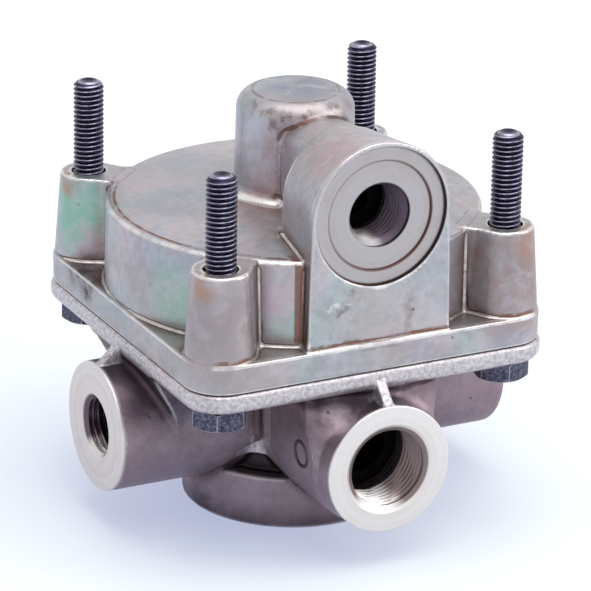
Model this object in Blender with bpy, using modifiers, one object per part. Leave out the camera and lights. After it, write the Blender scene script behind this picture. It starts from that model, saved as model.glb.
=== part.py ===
"""Relay valve for a compressed-air brake circuit, modelled at its real size.

Two aluminium castings are held together by four M8 bolts whose long ends stand up as mounting
studs. The upper casting is the cover with the control port; the lower casting is the body with
the supply port at the front (-Y), the delivery port at the left (-X), two blind bosses, and the
exhaust collar that the valve stands on. A piston, a hollow double-seat valve with its spring,
and a guide insert held by a retaining ring lie inside on the Z axis.

Units are metres, +Z is up, and the origin is the centre of the exhaust collar's lower rim.
"""

import math

import bmesh
import bpy

MM = 0.001
FIT_GAP = 0.3 * MM                     # between pieces that seat on or in one another
UNION_DEPTH = 1.5 * MM                 # how far one form is sunk into the form it is joined to

# Bolts, M8, whose free ends are the mounting studs
BOLT_PITCH = 80.0 * MM
BOLT_RADIUS = 4.0 * MM
BOLT_HOLE_CLEARANCE = 0.5 * MM
STUD_LENGTH = 24.7 * MM                # above the tower tops
STUD_TIP_RADIUS = 3.0 * MM
STUD_TIP_LENGTH = 1.2 * MM
BOLT_HEAD_ACROSS_FLATS = 13.0 * MM
BOLT_HEAD_HEIGHT = 5.3 * MM

# Flanges of both castings
FLANGE_MARGIN = 9.5 * MM               # from the bolt centres to the cover's edge
BODY_LIP = 0.5 * MM                    # the body's flange stands this much further out
FLANGE_CORNER = 10.0 * MM
BODY_FLANGE = 5.35 * MM
COVER_FLANGE = 7.45 * MM
FLANGE_EDGE = 1.4 * MM                 # rounding of the body's flange, below
COVER_EDGE = 0.7 * MM                  # rounding of the cover's flange, above
MACHINED_EDGE = 0.4 * MM               # broken edges of parting faces and port faces

# Lower casting
COLLAR_WALL = 6.2 * MM                 # from the guide bore to the collar's outer side
COLLAR_HEIGHT = 14.0 * MM
COLLAR_LEDGE = 3.2 * MM                # the neck stands this far back on the collar
BOSS_UNDERSIDE = 9.6 * MM              # lowest line of the bosses, above the collar's rim
BOSS_RADIUS = 17.0 * MM
BOSS_TO_FLANGE = 1.9 * MM              # from the top of a boss to the flange's underside
BLIND_BOSS_STEP = 0.7 * MM             # the blind bosses have this much less radius
BLIND_BOSS_ROUNDING = 2.4 * MM
BOSS_OVERHANG = 6.0 * MM               # boss faces past the flange's edge
CASTING_EDGE = 1.2 * MM                # rounding of cast edges
BLOCK_DRAFT = 1.3 * MM                 # how much wider a boss block is at the flange
BLOCK_SINK = 0.3 * MM                  # the block's foot inside the round of the boss
BLOCK_INSET_HIGH = 1.4 * MM            # boss blocks behind the flange's edge, at the flange
BLOCK_INSET_LOW = 12.0 * MM            # and at the level of the boss axis
SUPPLY_BLOCK_INSET_LOW = 2.4 * MM
PARTING_RIB_WIDTH = 2.0 * MM
PARTING_RIB_OVERHANG = 3.4 * MM        # past the flange's edge

# Ports
SUPPLY_BORE_RADIUS = 10.2 * MM         # M22 x 1.5, minor radius
SUPPLY_MOUTH_RADIUS = 12.0 * MM
SUPPLY_BORE_DEPTH = 17.0 * MM
SUPPLY_PASSAGE_RADIUS = 7.4 * MM
SMALL_BORE_RADIUS = 7.2 * MM           # M16 x 1.5, minor radius
DELIVERY_MOUTH_RADIUS = 8.35 * MM
DELIVERY_BORE_DEPTH = 18.0 * MM
RISER_RADIUS = 4.5 * MM
RISER_INSET = 5.0 * MM                 # riser axis past the end of the delivery bore

# Bore of the lower casting and what stacks up in it from below
RING_DROP = 21.4 * MM                  # retaining ring's lower face below the boss axis
GUIDE_BORE_RADIUS = 22.0 * MM
RETAINING_RING_THICKNESS = 1.5 * MM
RETAINING_GROOVE_DEPTH = 1.3 * MM
RETAINING_RING_WIDTH = 2.5 * MM
RETAINING_LUG_DEPTH = 1.9 * MM
RETAINING_EYE_RADIUS = 0.8 * MM
INSERT_HEIGHT = 10.0 * MM
SUPPLY_CHAMBER_STEP = 1.5 * MM         # shoulder above the insert
SLEEVE_HEIGHT = 4.0 * MM
SLEEVE_WALL = 2.3 * MM
EXHAUST_PLATE = 2.0 * MM
EXHAUST_CHAMBER_HEIGHT = 2.6 * MM
EXHAUST_CHAMBER_WALL = 7.0 * MM        # from the guide bore to the exhaust chamber
EXHAUST_HOLE_INSET = 5.4 * MM          # from the chamber's side to the hole centres
EXHAUST_HOLE_WEB = 3.4 * MM            # between neighbouring holes
EXHAUST_HOLE_COUNT = 6
FLAP_STEM_RADIUS = 1.9 * MM
FLAP_THICKNESS = 1.4 * MM
FLAP_MARGIN = 4.5 * MM                 # from the guide bore to the flap's edge
FLAP_HEAD_RADIUS = 3.3 * MM
FLAP_HEAD_HEIGHT = 1.2 * MM
SPRING_SEAT_THICKNESS = 1.0 * MM
SPRING_SEAT_WIDTH = 4.4 * MM
SPRING_HEIGHT = 9.1 * MM
SPRING_WIRE_RADIUS = 0.8 * MM
SPRING_TURNS = 3
SPRING_SIDE_GAP = 0.8 * MM             # from the sleeve to the coils
VALVE_BORE_RADIUS = 5.2 * MM
VALVE_TUBE_WALL = 2.8 * MM
VALVE_HEAD_THICKNESS = 3.0 * MM
VALVE_HEAD_RIM = 1.0 * MM
VALVE_SEAL_THICKNESS = 1.9 * MM
VALVE_SEAL_RADIUS = 13.0 * MM
INLET_BORE_RADIUS = 10.0 * MM
SEAT_RIDGE_HEIGHT = 1.0 * MM
SEAT_RIDGE_WIDTH = 1.2 * MM
PARTITION_THICKNESS = 2.5 * MM
WELL_RADIUS = 20.0 * MM
RECESS_STEP = 4.0 * MM                 # from the piston bore to the recess in the body
RECESS_DEPTH = 2.85 * MM

# Strokes
VALVE_STROKE = 2.5 * MM
EXHAUST_LIFT = 1.5 * MM

# Piston
PISTON_CLEARANCE = 0.4 * MM
PISTON_HEIGHT = 19.05 * MM
PISTON_SKIRT_WALL = 5.6 * MM
PISTON_CROWN_LEVEL = 4.0 * MM          # crown underside above the skirt's lower edge
PISTON_CROWN = 4.4 * MM
STEM_RADIUS = 7.2 * MM
STEM_SEAT_WIDTH = 1.4 * MM
STEM_FILLET = 2.0 * MM

# Seals: cord radius of each ring
PISTON_SEAL_CORD = 1.3 * MM
HOUSING_SEAL_CORD = 0.95 * MM
HOUSING_SEAL_WALL = 1.4 * MM           # from the piston bore to the groove
GUIDE_SEAL_CORD = 1.1 * MM
TUBE_SEAL_CORD = 0.9 * MM
SEAL_SIDE_GAP = 0.4 * MM

# Cover
DRUM_INSET = 1.0 * MM                  # the drum stands this far back from the cover's edge
DRUM_WALL = 6.5 * MM                   # from the piston bore to the drum's outer side
DRUM_DRAFT = 0.3 * MM
DRUM_SHOULDER = 2.5 * MM
CROWN_RISE = 3.0 * MM                  # shallow cone of the top
ROOF_THICKNESS = 4.6 * MM
ROOF_STOP_WIDTH = 8.0 * MM
ROOF_STOP_DEPTH = 2.0 * MM
TOWER_HEIGHT = 30.05 * MM
TOWER_TOP_RADIUS = 7.4 * MM
TOWER_FOOT_RADIUS = 9.0 * MM
TOWER_WEB_HALF_WIDTH = 6.6 * MM
TOWER_WEB_DRAFT = 0.8 * MM
TOWER_WEB_ROOT = 30.0 * MM             # the webs start this far from the axis, inside the drum
DOME_RADIUS = 15.3 * MM
DOME_HEIGHT = 59.45 * MM
DOME_ROUNDING = 5.5 * MM
DOME_FOOT = 2.6 * MM
DOME_WALL = 5.3 * MM
DOME_ROOF = 6.0 * MM

# Control boss on the cover
CONTROL_LEVEL = 40.55 * MM             # port axis above the cover's parting face
CONTROL_FACE_INSET = 0.8 * MM          # the port face behind the cover's edge
CONTROL_RADIUS = 19.3 * MM
CONTROL_SPREAD = 0.8 * MM              # the tongue is this much wider at its foot
CONTROL_REAR = 26.7 * MM
CONTROL_REAR_RADIUS = 16.75 * MM
NECK_HALF_WIDTH = 10.0 * MM
NECK_END_RADIUS = 14.4 * MM
NECK_END = 8.0 * MM
CONTROL_RECESS_RADIUS = 18.15 * MM
CONTROL_PAD_RADIUS = 14.25 * MM
CONTROL_RECESS_DEPTH = 1.0 * MM
CONTROL_PAD_DEPTH = 1.0 * MM
CONTROL_MOUTH_RADIUS = 9.0 * MM
CONTROL_BORE_DEPTH = 14.0 * MM
CONTROL_PASSAGE_RADIUS = 4.0 * MM

# Facets
FINE_STEPS = 48                        # outer rounds of the castings
BOSS_STEPS = 32                        # bosses and ports
BORE_STEPS = 32                        # large bores, the piston and its ring
INNER_STEPS = 24                       # guide, valve and other inner pieces
SMALL_STEPS = 14
CORD_STEPS = 6

# Levels and radii that follow from the sizes above
BLIND_BOSS_RADIUS = BOSS_RADIUS - BLIND_BOSS_STEP
BOSS_LEVEL = BOSS_UNDERSIDE + BOSS_RADIUS
FLANGE_LEVEL = BOSS_LEVEL + BOSS_RADIUS + BOSS_TO_FLANGE
BODY_TOP = FLANGE_LEVEL + BODY_FLANGE
COVER_BASE = BODY_TOP + FIT_GAP
COVER_FLANGE_TOP = COVER_BASE + COVER_FLANGE
TOWER_TOP = COVER_BASE + TOWER_HEIGHT
STUD_TOP = TOWER_TOP + STUD_LENGTH
BOLT_HEAD_TOP = FLANGE_LEVEL - FIT_GAP
COVER_HALF = BOLT_PITCH / 2 + FLANGE_MARGIN
BODY_HALF = COVER_HALF + BODY_LIP
BOLT_HOLE_RADIUS = BOLT_RADIUS + BOLT_HOLE_CLEARANCE
DRUM_RADIUS = COVER_HALF - DRUM_INSET
PISTON_BORE_RADIUS = DRUM_RADIUS - DRUM_WALL
RECESS_RADIUS = PISTON_BORE_RADIUS - RECESS_STEP
CONTROL_FACE = COVER_HALF - CONTROL_FACE_INSET

COLLAR_RADIUS = GUIDE_BORE_RADIUS + COLLAR_WALL
NECK_RADIUS = COLLAR_RADIUS - COLLAR_LEDGE
BOSS_REACH = BODY_HALF + BOSS_OVERHANG
BLOCK_REACH_HIGH = BODY_HALF - BLOCK_INSET_HIGH
BLOCK_REACH_LOW = BODY_HALF - BLOCK_INSET_LOW
SUPPLY_BLOCK_REACH_LOW = BODY_HALF - SUPPLY_BLOCK_INSET_LOW
PARTING_RIB_REACH = BODY_HALF + PARTING_RIB_OVERHANG
RISER_OFFSET = BOSS_REACH - DELIVERY_BORE_DEPTH - RISER_INSET

MOUTH_DEPTH = BOSS_LEVEL - RING_DROP
RING_TOP = MOUTH_DEPTH + RETAINING_RING_THICKNESS
INSERT_BASE = RING_TOP + FIT_GAP
INSERT_TOP = INSERT_BASE + INSERT_HEIGHT
CHAMBER_BASE = INSERT_TOP + FIT_GAP
INSERT_RADIUS = GUIDE_BORE_RADIUS - FIT_GAP
EXHAUST_CHAMBER_RADIUS = GUIDE_BORE_RADIUS - EXHAUST_CHAMBER_WALL
EXHAUST_HOLE_PITCH = EXHAUST_CHAMBER_RADIUS - EXHAUST_HOLE_INSET
EXHAUST_HOLE_RADIUS = EXHAUST_HOLE_PITCH * math.sin(math.pi / EXHAUST_HOLE_COUNT) - EXHAUST_HOLE_WEB / 2
FLAP_RADIUS = GUIDE_BORE_RADIUS - FLAP_MARGIN
CHAMBER_RADIUS = GUIDE_BORE_RADIUS - SUPPLY_CHAMBER_STEP
SEAT_WASHER_BASE = INSERT_TOP + FIT_GAP
SPRING_BASE = SEAT_WASHER_BASE + SPRING_SEAT_THICKNESS + FIT_GAP
VALVE_HEAD_BASE = SPRING_BASE + SPRING_HEIGHT + FIT_GAP
VALVE_HEAD_TOP = VALVE_HEAD_BASE + VALVE_HEAD_THICKNESS
VALVE_SEAL_BASE = VALVE_HEAD_TOP + FIT_GAP
VALVE_SEAL_TOP = VALVE_SEAL_BASE + VALVE_SEAL_THICKNESS
INLET_SEAT = VALVE_SEAL_TOP + FIT_GAP
PARTITION_BASE = INLET_SEAT + SEAT_RIDGE_HEIGHT
WELL_BASE = PARTITION_BASE + PARTITION_THICKNESS
RECESS_BASE = BODY_TOP - RECESS_DEPTH
VALVE_TUBE_RADIUS = VALVE_BORE_RADIUS + VALVE_TUBE_WALL
TUBE_BASE = INSERT_BASE + EXHAUST_PLATE + FIT_GAP + VALVE_STROKE + FIT_GAP
SLEEVE_BORE_RADIUS = VALVE_TUBE_RADIUS + FIT_GAP
SLEEVE_RADIUS = SLEEVE_BORE_RADIUS + SLEEVE_WALL
VALVE_HEAD_RADIUS = VALVE_SEAL_RADIUS + FIT_GAP + VALVE_HEAD_RIM
SPRING_RADIUS = SLEEVE_RADIUS + SPRING_SIDE_GAP + SPRING_WIRE_RADIUS

STEM_BASE = VALVE_SEAL_TOP + FIT_GAP
PISTON_BASE = BODY_TOP + VALVE_STROKE + FIT_GAP
PISTON_TOP = PISTON_BASE + PISTON_HEIGHT
PISTON_STOP = PISTON_TOP + EXHAUST_LIFT + FIT_GAP
PISTON_RADIUS = PISTON_BORE_RADIUS - PISTON_CLEARANCE
ROOF_LEVEL = PISTON_STOP + ROOF_STOP_DEPTH
CONTROL_AXIS = COVER_BASE + CONTROL_LEVEL
DRUM_TOP = ROOF_LEVEL + ROOF_THICKNESS
DOME_TOP = COVER_BASE + DOME_HEIGHT

# Colour, roughness and metallic value of each material
COVER_METAL = ("cast_cover", (0.46, 0.44, 0.40), 0.38, 0.85)
BODY_METAL = ("cast_body", (0.33, 0.29, 0.29), 0.50, 0.80)
BLACK_STEEL = ("black_steel", (0.035, 0.037, 0.05), 0.42, 0.75)
PISTON_METAL = ("piston_metal", (0.62, 0.62, 0.62), 0.32, 0.90)
VALVE_METAL = ("valve_brass", (0.70, 0.55, 0.28), 0.30, 0.95)
SPRING_STEEL = ("spring_steel", (0.50, 0.51, 0.53), 0.28, 1.00)
GUIDE_PLASTIC = ("guide_plastic", (0.05, 0.05, 0.055), 0.55, 0.00)
RUBBER = ("rubber", (0.02, 0.02, 0.02), 0.75, 0.00)


def new_collection(name):
    """Add a collection to the scene."""
    collection = bpy.data.collections.new(name)
    bpy.context.scene.collection.children.link(collection)
    return collection


for leftover in list(bpy.data.objects):
    bpy.data.objects.remove(leftover)
PARTS = new_collection("relay_valve")
HELPERS = new_collection("cutters_and_guides")


def material(finish):
    """Principled material of one of the finishes named above, made once."""
    name, colour, roughness, metallic = finish
    found = bpy.data.materials.get(name)
    if found:
        return found
    made = bpy.data.materials.new(name)
    made.use_nodes = True
    shader = made.node_tree.nodes["Principled BSDF"]
    shader.inputs["Base Color"].default_value = (*colour, 1.0)
    shader.inputs["Roughness"].default_value = roughness
    shader.inputs["Metallic"].default_value = metallic
    return made


def add_object(name, mesh):
    """Object among the helpers, which it leaves when it becomes a part."""
    made = bpy.data.objects.new(name, mesh)
    HELPERS.objects.link(made)
    made.hide_render = True
    made.display_type = "WIRE"
    return made


def add_empty(name, location, parent=None):
    """Empty that carries the pieces of one moving group."""
    made = bpy.data.objects.new(name, None)
    PARTS.objects.link(made)
    made.location = location
    made.parent = parent
    return made


def arc(centre_r, centre_z, radius, start, end, steps):
    """Points of a circular arc in the (radius, height) plane, angles in degrees."""
    points = []
    for step in range(steps + 1):
        angle = math.radians(start + (end - start) * step / steps)
        points.append((centre_r + radius * math.cos(angle), centre_z + radius * math.sin(angle)))
    return points


def turned(name, profile, steps, ring=False):
    """Solid of revolution about Z; the profile runs down its outer side.

    A ring's profile is closed; any other profile starts and ends on the axis.
    """
    count = len(profile)
    edges = [(i, i + 1) for i in range(count - 1)]
    if ring:
        edges.append((count - 1, 0))
    mesh = bpy.data.meshes.new(name)
    mesh.from_pydata([(r, 0.0, z) for r, z in profile], edges, [])
    made = add_object(name, mesh)
    screw = made.modifiers.new("turn", "SCREW")
    screw.axis = "Z"
    screw.angle = math.tau
    screw.steps = steps
    screw.render_steps = steps
    screw.use_merge_vertices = True
    screw.merge_threshold = 1e-6
    return made


def rod(name, radius, low, high, steps=SMALL_STEPS):
    """Plain cylinder on the Z axis between two heights."""
    return turned(name, [(0, high), (radius, high), (radius, low), (0, low)], steps)


def loft(name, sections):
    """Closed solid through sections of equal point counts, capped at both ends."""
    form = bmesh.new()
    rings = [[form.verts.new(point) for point in section] for section in sections]
    for lower, upper in zip(rings, rings[1:]):
        for i, point in enumerate(lower):
            j = (i + 1) % len(lower)
            form.faces.new((point, lower[j], upper[j], upper[i]))
    form.faces.new(rings[0])
    form.faces.new(rings[-1])
    bmesh.ops.recalc_face_normals(form, faces=form.faces)
    mesh = bpy.data.meshes.new(name)
    form.to_mesh(mesh)
    form.free()
    return add_object(name, mesh)


def join(target, *pieces):
    """Unite helper solids with the target."""
    for piece in pieces:
        union = target.modifiers.new("join_" + piece.name, "BOOLEAN")
        union.operation = "UNION"
        union.object = piece


def cut(target, *pieces):
    """Take helper solids away from the target."""
    for piece in pieces:
        difference = target.modifiers.new("cut_" + piece.name, "BOOLEAN")
        difference.operation = "DIFFERENCE"
        difference.object = piece


def make_part(made, finish, parent=None):
    """Turn a helper into a named part: modifiers applied, smooth rounds and sharp edges."""
    depsgraph = bpy.context.evaluated_depsgraph_get()
    mesh = bpy.data.meshes.new_from_object(made.evaluated_get(depsgraph))
    made.modifiers.clear()
    made.data = mesh
    mesh.name = made.name
    mesh.materials.clear()
    mesh.materials.append(material(finish))
    mesh.shade_smooth()
    mesh.set_sharp_from_angle(angle=math.radians(35))
    HELPERS.objects.unlink(made)
    PARTS.objects.link(made)
    made.hide_render = False
    made.display_type = "TEXTURED"
    made.parent = parent
    return made


def rounded_square(half, corner, steps=4):
    """Outline of a square with round corners, anticlockwise, in plan."""
    points = []
    for quarter in range(4):
        middle = math.radians(45 + 90 * quarter)
        centre_x = math.copysign(half - corner, math.cos(middle))
        centre_y = math.copysign(half - corner, math.sin(middle))
        points += arc(centre_x, centre_y, corner, 90 * quarter, 90 * quarter + 90, steps)
    return points


def flange_plate(name, half, low, high, low_round, high_round):
    """Square plate with round corners and a rounded lower or upper edge."""
    steps = 2
    levels = []
    for step in range(steps + 1):
        angle = math.radians(90 * step / steps)
        levels.append((low_round * (1 - math.sin(angle)), low + low_round * (1 - math.cos(angle))))
    for step in range(steps + 1):
        angle = math.radians(90 * step / steps)
        levels.append((high_round * (1 - math.cos(angle)), high - high_round * (1 - math.sin(angle))))
    sections = []
    for inset, level in dict.fromkeys(levels):
        outline = rounded_square(half - inset, FLANGE_CORNER - inset)
        sections.append([(x, y, level) for x, y in outline])
    return loft(name, sections)


def turn_towards(made, side):
    """Rotate a helper whose axis is +Z so that it points to a side and sits at boss level."""
    quarter = math.pi / 2
    rotations = {
        "front": (quarter, 0, 0),
        "back": (-quarter, 0, 0),
        "left": (0, -quarter, 0),
        "right": (0, quarter, 0),
    }
    made.rotation_euler = rotations[side]
    return made


def boss(side, radius, rounding):
    """Round boss from the valve axis to its face, at boss level."""
    profile = [(0, BOSS_REACH)]
    profile += arc(radius - rounding, BOSS_REACH - rounding, rounding, 90, 0, 3)
    profile += [(radius, 0), (0, 0)]
    made = turn_towards(turned("boss_" + side, profile, BOSS_STEPS), side)
    made.location.z = BOSS_LEVEL
    return made


def boss_block(side, radius, reach_low):
    """Drafted block that fills the space between a boss and the flange above it."""
    low = BOSS_LEVEL + CASTING_EDGE
    half_low = math.sqrt(radius ** 2 - CASTING_EDGE ** 2) - BLOCK_SINK
    sections = []
    for half, reach, level in (
        (half_low, reach_low, low),
        (radius + BLOCK_DRAFT, BLOCK_REACH_HIGH, FLANGE_LEVEL + UNION_DEPTH),
    ):
        sections.append(
            [(0, -half, level), (reach, -half, level), (reach, half, level), (0, half, level)])
    made = loft("block_" + side, sections)
    turns = {"right": 0, "back": 1, "left": 2, "front": 3}
    made.rotation_euler.z = turns[side] * math.pi / 2
    return made


def parting_rib(side):
    """Thin rib on the centre plane, between a boss and the flange's underside."""
    half = PARTING_RIB_WIDTH / 2
    low = BOSS_LEVEL + BOSS_RADIUS - UNION_DEPTH
    inner = BLOCK_REACH_HIGH - UNION_DEPTH
    sections = []
    for reach, level in (
        (PARTING_RIB_REACH, low),
        (PARTING_RIB_REACH, BOSS_LEVEL + BOSS_RADIUS + FIT_GAP),
        (BODY_HALF - FLANGE_EDGE, FLANGE_LEVEL + UNION_DEPTH),
    ):
        sections.append(
            [(inner, -half, level), (reach, -half, level), (reach, half, level), (inner, half, level)])
    made = loft("rib_" + side, sections)
    turns = {"left": 2, "front": 3}
    made.rotation_euler.z = turns[side] * math.pi / 2
    return made


def collar_and_neck():
    """Exhaust collar that the valve stands on, and the round neck above it."""
    edge = CASTING_EDGE
    top = FLANGE_LEVEL + UNION_DEPTH
    profile = [(0, top), (NECK_RADIUS, top)]
    profile += arc(NECK_RADIUS + edge, COLLAR_HEIGHT + edge, edge, 180, 270, 3)
    profile += arc(COLLAR_RADIUS - edge, COLLAR_HEIGHT - edge, edge, 90, 0, 3)
    profile += arc(COLLAR_RADIUS - edge, edge, edge, 0, -90, 3)
    profile += [(0, 0)]
    return turned("collar", profile, FINE_STEPS)


def body_bore():
    """Stepped bore of the lower casting, from the exhaust mouth to the piston bore."""
    bore = GUIDE_BORE_RADIUS
    groove = bore + RETAINING_GROOVE_DEPTH
    over = BODY_TOP + UNION_DEPTH
    profile = [(0, over), (RECESS_RADIUS, over), (RECESS_RADIUS, RECESS_BASE)]
    profile += [(WELL_RADIUS, RECESS_BASE), (WELL_RADIUS, WELL_BASE), (INLET_BORE_RADIUS, WELL_BASE)]
    profile += [(INLET_BORE_RADIUS, INLET_SEAT), (INLET_BORE_RADIUS + SEAT_RIDGE_WIDTH, INLET_SEAT)]
    profile += [(INLET_BORE_RADIUS + SEAT_RIDGE_WIDTH, PARTITION_BASE)]
    profile += [(CHAMBER_RADIUS, PARTITION_BASE), (CHAMBER_RADIUS, CHAMBER_BASE), (bore, CHAMBER_BASE)]
    profile += [(bore, RING_TOP + FIT_GAP), (groove, RING_TOP + FIT_GAP)]
    profile += [(groove, MOUTH_DEPTH - FIT_GAP), (bore, MOUTH_DEPTH - FIT_GAP)]
    profile += [(bore, CASTING_EDGE), (bore + CASTING_EDGE, 0), (bore + CASTING_EDGE, -UNION_DEPTH)]
    profile += [(0, -UNION_DEPTH)]
    return turned("body_bore", profile, BORE_STEPS)


def port_bore(side, mouth, bore, depth, passage, passage_end):
    """Port drilled in from a boss face: chamfer, threaded bore, cone and narrower passage."""
    face = BOSS_REACH
    profile = [(0, face + UNION_DEPTH), (mouth, face + UNION_DEPTH), (mouth, face)]
    profile += [(bore, face - (mouth - bore)), (bore, face - depth)]
    profile += [(passage, face - depth - (bore - passage) / 2), (passage, passage_end)]
    profile += [(0, passage_end)]
    made = turn_towards(turned("port_" + side, profile, BOSS_STEPS), side)
    made.location.z = BOSS_LEVEL
    return made


def seal_groove(name, outer, wide, low, high, steps=BORE_STEPS):
    """Cutter for a groove that holds a sealing ring."""
    inner = outer - wide
    return turned(name, [(outer, high), (outer, low), (inner, low), (inner, high)], steps, ring=True)


def bolt_places():
    """Names and plan positions of the four bolts."""
    half = BOLT_PITCH / 2
    return {
        "bolt_front_left": (-half, -half),
        "bolt_front_right": (half, -half),
        "bolt_back_left": (-half, half),
        "bolt_back_right": (half, half),
    }


def bolt_holes(low, high):
    """Cutters for the four bolt holes between two heights."""
    holes = []
    for name, (x, y) in bolt_places().items():
        hole = rod("hole_" + name, BOLT_HOLE_RADIUS, low, high)
        hole.location = (x, y, 0)
        holes.append(hole)
    return holes


def make_lower_body():
    """Lower casting with its supply, delivery and exhaust ports."""
    body = flange_plate("lower_body", BODY_HALF, FLANGE_LEVEL, BODY_TOP, FLANGE_EDGE, MACHINED_EDGE)
    join(body, collar_and_neck())
    for side in ("left", "front"):
        join(body, boss(side, BOSS_RADIUS, MACHINED_EDGE))
    for side in ("right", "back"):
        join(body, boss(side, BLIND_BOSS_RADIUS, BLIND_BOSS_ROUNDING))
    join(body, boss_block("left", BOSS_RADIUS, BLOCK_REACH_LOW))
    join(body, boss_block("front", BOSS_RADIUS, SUPPLY_BLOCK_REACH_LOW))
    join(body, boss_block("right", BLIND_BOSS_RADIUS, BLOCK_REACH_LOW))
    join(body, boss_block("back", BLIND_BOSS_RADIUS, BLOCK_REACH_LOW))
    join(body, parting_rib("left"), parting_rib("front"))
    cut(body, body_bore())
    cut(body, port_bore("front", SUPPLY_MOUTH_RADIUS, SUPPLY_BORE_RADIUS, SUPPLY_BORE_DEPTH,
                        SUPPLY_PASSAGE_RADIUS, CHAMBER_RADIUS - UNION_DEPTH))
    cut(body, port_bore("left", DELIVERY_MOUTH_RADIUS, SMALL_BORE_RADIUS, DELIVERY_BORE_DEPTH,
                        RISER_RADIUS, RISER_OFFSET))
    riser = rod("riser", RISER_RADIUS, BOSS_LEVEL - RISER_RADIUS, BODY_TOP)
    riser.location.x = -RISER_OFFSET
    cut(body, riser)
    groove = PISTON_BORE_RADIUS + HOUSING_SEAL_WALL + 2 * (HOUSING_SEAL_CORD + FIT_GAP)
    floor = COVER_BASE - 2 * (HOUSING_SEAL_CORD + FIT_GAP)
    wide = 2 * (HOUSING_SEAL_CORD + FIT_GAP)
    cut(body, seal_groove("housing_groove", groove, wide, floor, BODY_TOP + UNION_DEPTH))
    cut(body, *bolt_holes(FLANGE_LEVEL - UNION_DEPTH, BODY_TOP + UNION_DEPTH))
    return make_part(body, BODY_METAL)


def drum_and_dome():
    """Turned form of the cover: drum, shallow cone and central dome."""
    profile = [(0, DOME_TOP)]
    profile += arc(DOME_RADIUS - DOME_ROUNDING, DOME_TOP - DOME_ROUNDING, DOME_ROUNDING, 90, 0, 3)
    crown = DRUM_TOP + CROWN_RISE
    profile += arc(DOME_RADIUS + DOME_FOOT, crown + DOME_FOOT, DOME_FOOT, 180, 270, 2)
    profile += arc(DRUM_RADIUS - DRUM_SHOULDER, DRUM_TOP - DRUM_SHOULDER, DRUM_SHOULDER, 80, 0, 2)
    foot = DRUM_RADIUS + DRUM_DRAFT
    profile += [(foot, COVER_FLANGE_TOP), (foot, COVER_FLANGE_TOP - UNION_DEPTH)]
    profile += [(0, COVER_FLANGE_TOP - UNION_DEPTH)]
    return turned("drum", profile, FINE_STEPS)


def tower_section(radius, half, reach, level):
    """Keyhole outline of a tower at one height: the post's arc and the web's straight sides."""
    meet = 180 - math.degrees(math.asin(half / radius))
    outline = [(TOWER_WEB_ROOT, -half, level)]
    for x, y in arc(reach, 0, radius, -meet, meet, 14):
        outline.append((x, y, level))
    outline.append((TOWER_WEB_ROOT, half, level))
    return outline


def tower(name, x, y):
    """Corner tower of one bolt: a drafted post and the web that ties it to the drum."""
    edge = COVER_EDGE
    reach = math.hypot(x, y)
    foot = TOWER_FOOT_RADIUS
    top = TOWER_TOP_RADIUS
    web = TOWER_WEB_HALF_WIDTH
    web_foot = web + TOWER_WEB_DRAFT
    made = loft("tower_" + name, [
        tower_section(foot, web_foot + edge, reach, COVER_FLANGE_TOP - UNION_DEPTH),
        tower_section(foot, web_foot + edge, reach, COVER_FLANGE_TOP),
        tower_section(foot, web_foot, reach, COVER_FLANGE_TOP + edge),
        tower_section(top, web, reach, TOWER_TOP - edge),
        tower_section(top - edge, web - edge, reach, TOWER_TOP),
    ])
    made.rotation_euler.z = math.atan2(y, x)
    return made


def arch(half_foot, radius, axis_level, knee, foot, y, steps=16):
    """Upright arch outline at one depth: round top, sides that spread towards the foot."""
    points = [(half_foot, y, foot), (half_foot, y, min(knee, axis_level))]
    for x, z in arc(0, axis_level, radius, 0, 180, steps):
        points.append((x, y, z))
    points += [(-half_foot, y, min(knee, axis_level)), (-half_foot, y, foot)]
    return points


def control_boss():
    """Arched boss of the control port, tapering from its face to its rear rim."""
    foot = COVER_FLANGE_TOP - UNION_DEPTH
    knee = COVER_FLANGE_TOP + COVER_EDGE
    edge = COVER_EDGE
    half = CONTROL_RADIUS + CONTROL_SPREAD
    rear = CONTROL_REAR_RADIUS
    return loft("control_boss", [
        arch(half - edge / 2, CONTROL_RADIUS - edge / 2, CONTROL_AXIS, knee, foot, -CONTROL_FACE),
        arch(half, CONTROL_RADIUS, CONTROL_AXIS, knee, foot, -CONTROL_FACE + edge / 2),
        arch(rear, rear, CONTROL_AXIS, knee, foot, -CONTROL_REAR - edge),
        arch(rear - edge, rear - edge, CONTROL_AXIS, knee, foot, -CONTROL_REAR),
    ])


def control_neck():
    """Narrower neck that runs from the control boss into the dome, under a crowned top."""
    sections = []
    front = (CONTROL_REAR_RADIUS - COVER_EDGE / 2, -CONTROL_REAR - UNION_DEPTH)
    for radius, y in (front, (NECK_END_RADIUS, -NECK_END)):
        lean = math.degrees(math.acos(NECK_HALF_WIDTH / radius))
        outline = [(NECK_HALF_WIDTH, y, DRUM_TOP - UNION_DEPTH)]
        for x, z in arc(0, CONTROL_AXIS, radius, lean, 180 - lean, 8):
            outline.append((x, y, z))
        outline.append((-NECK_HALF_WIDTH, y, DRUM_TOP - UNION_DEPTH))
        sections.append(outline)
    return loft("control_neck", sections)


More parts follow.
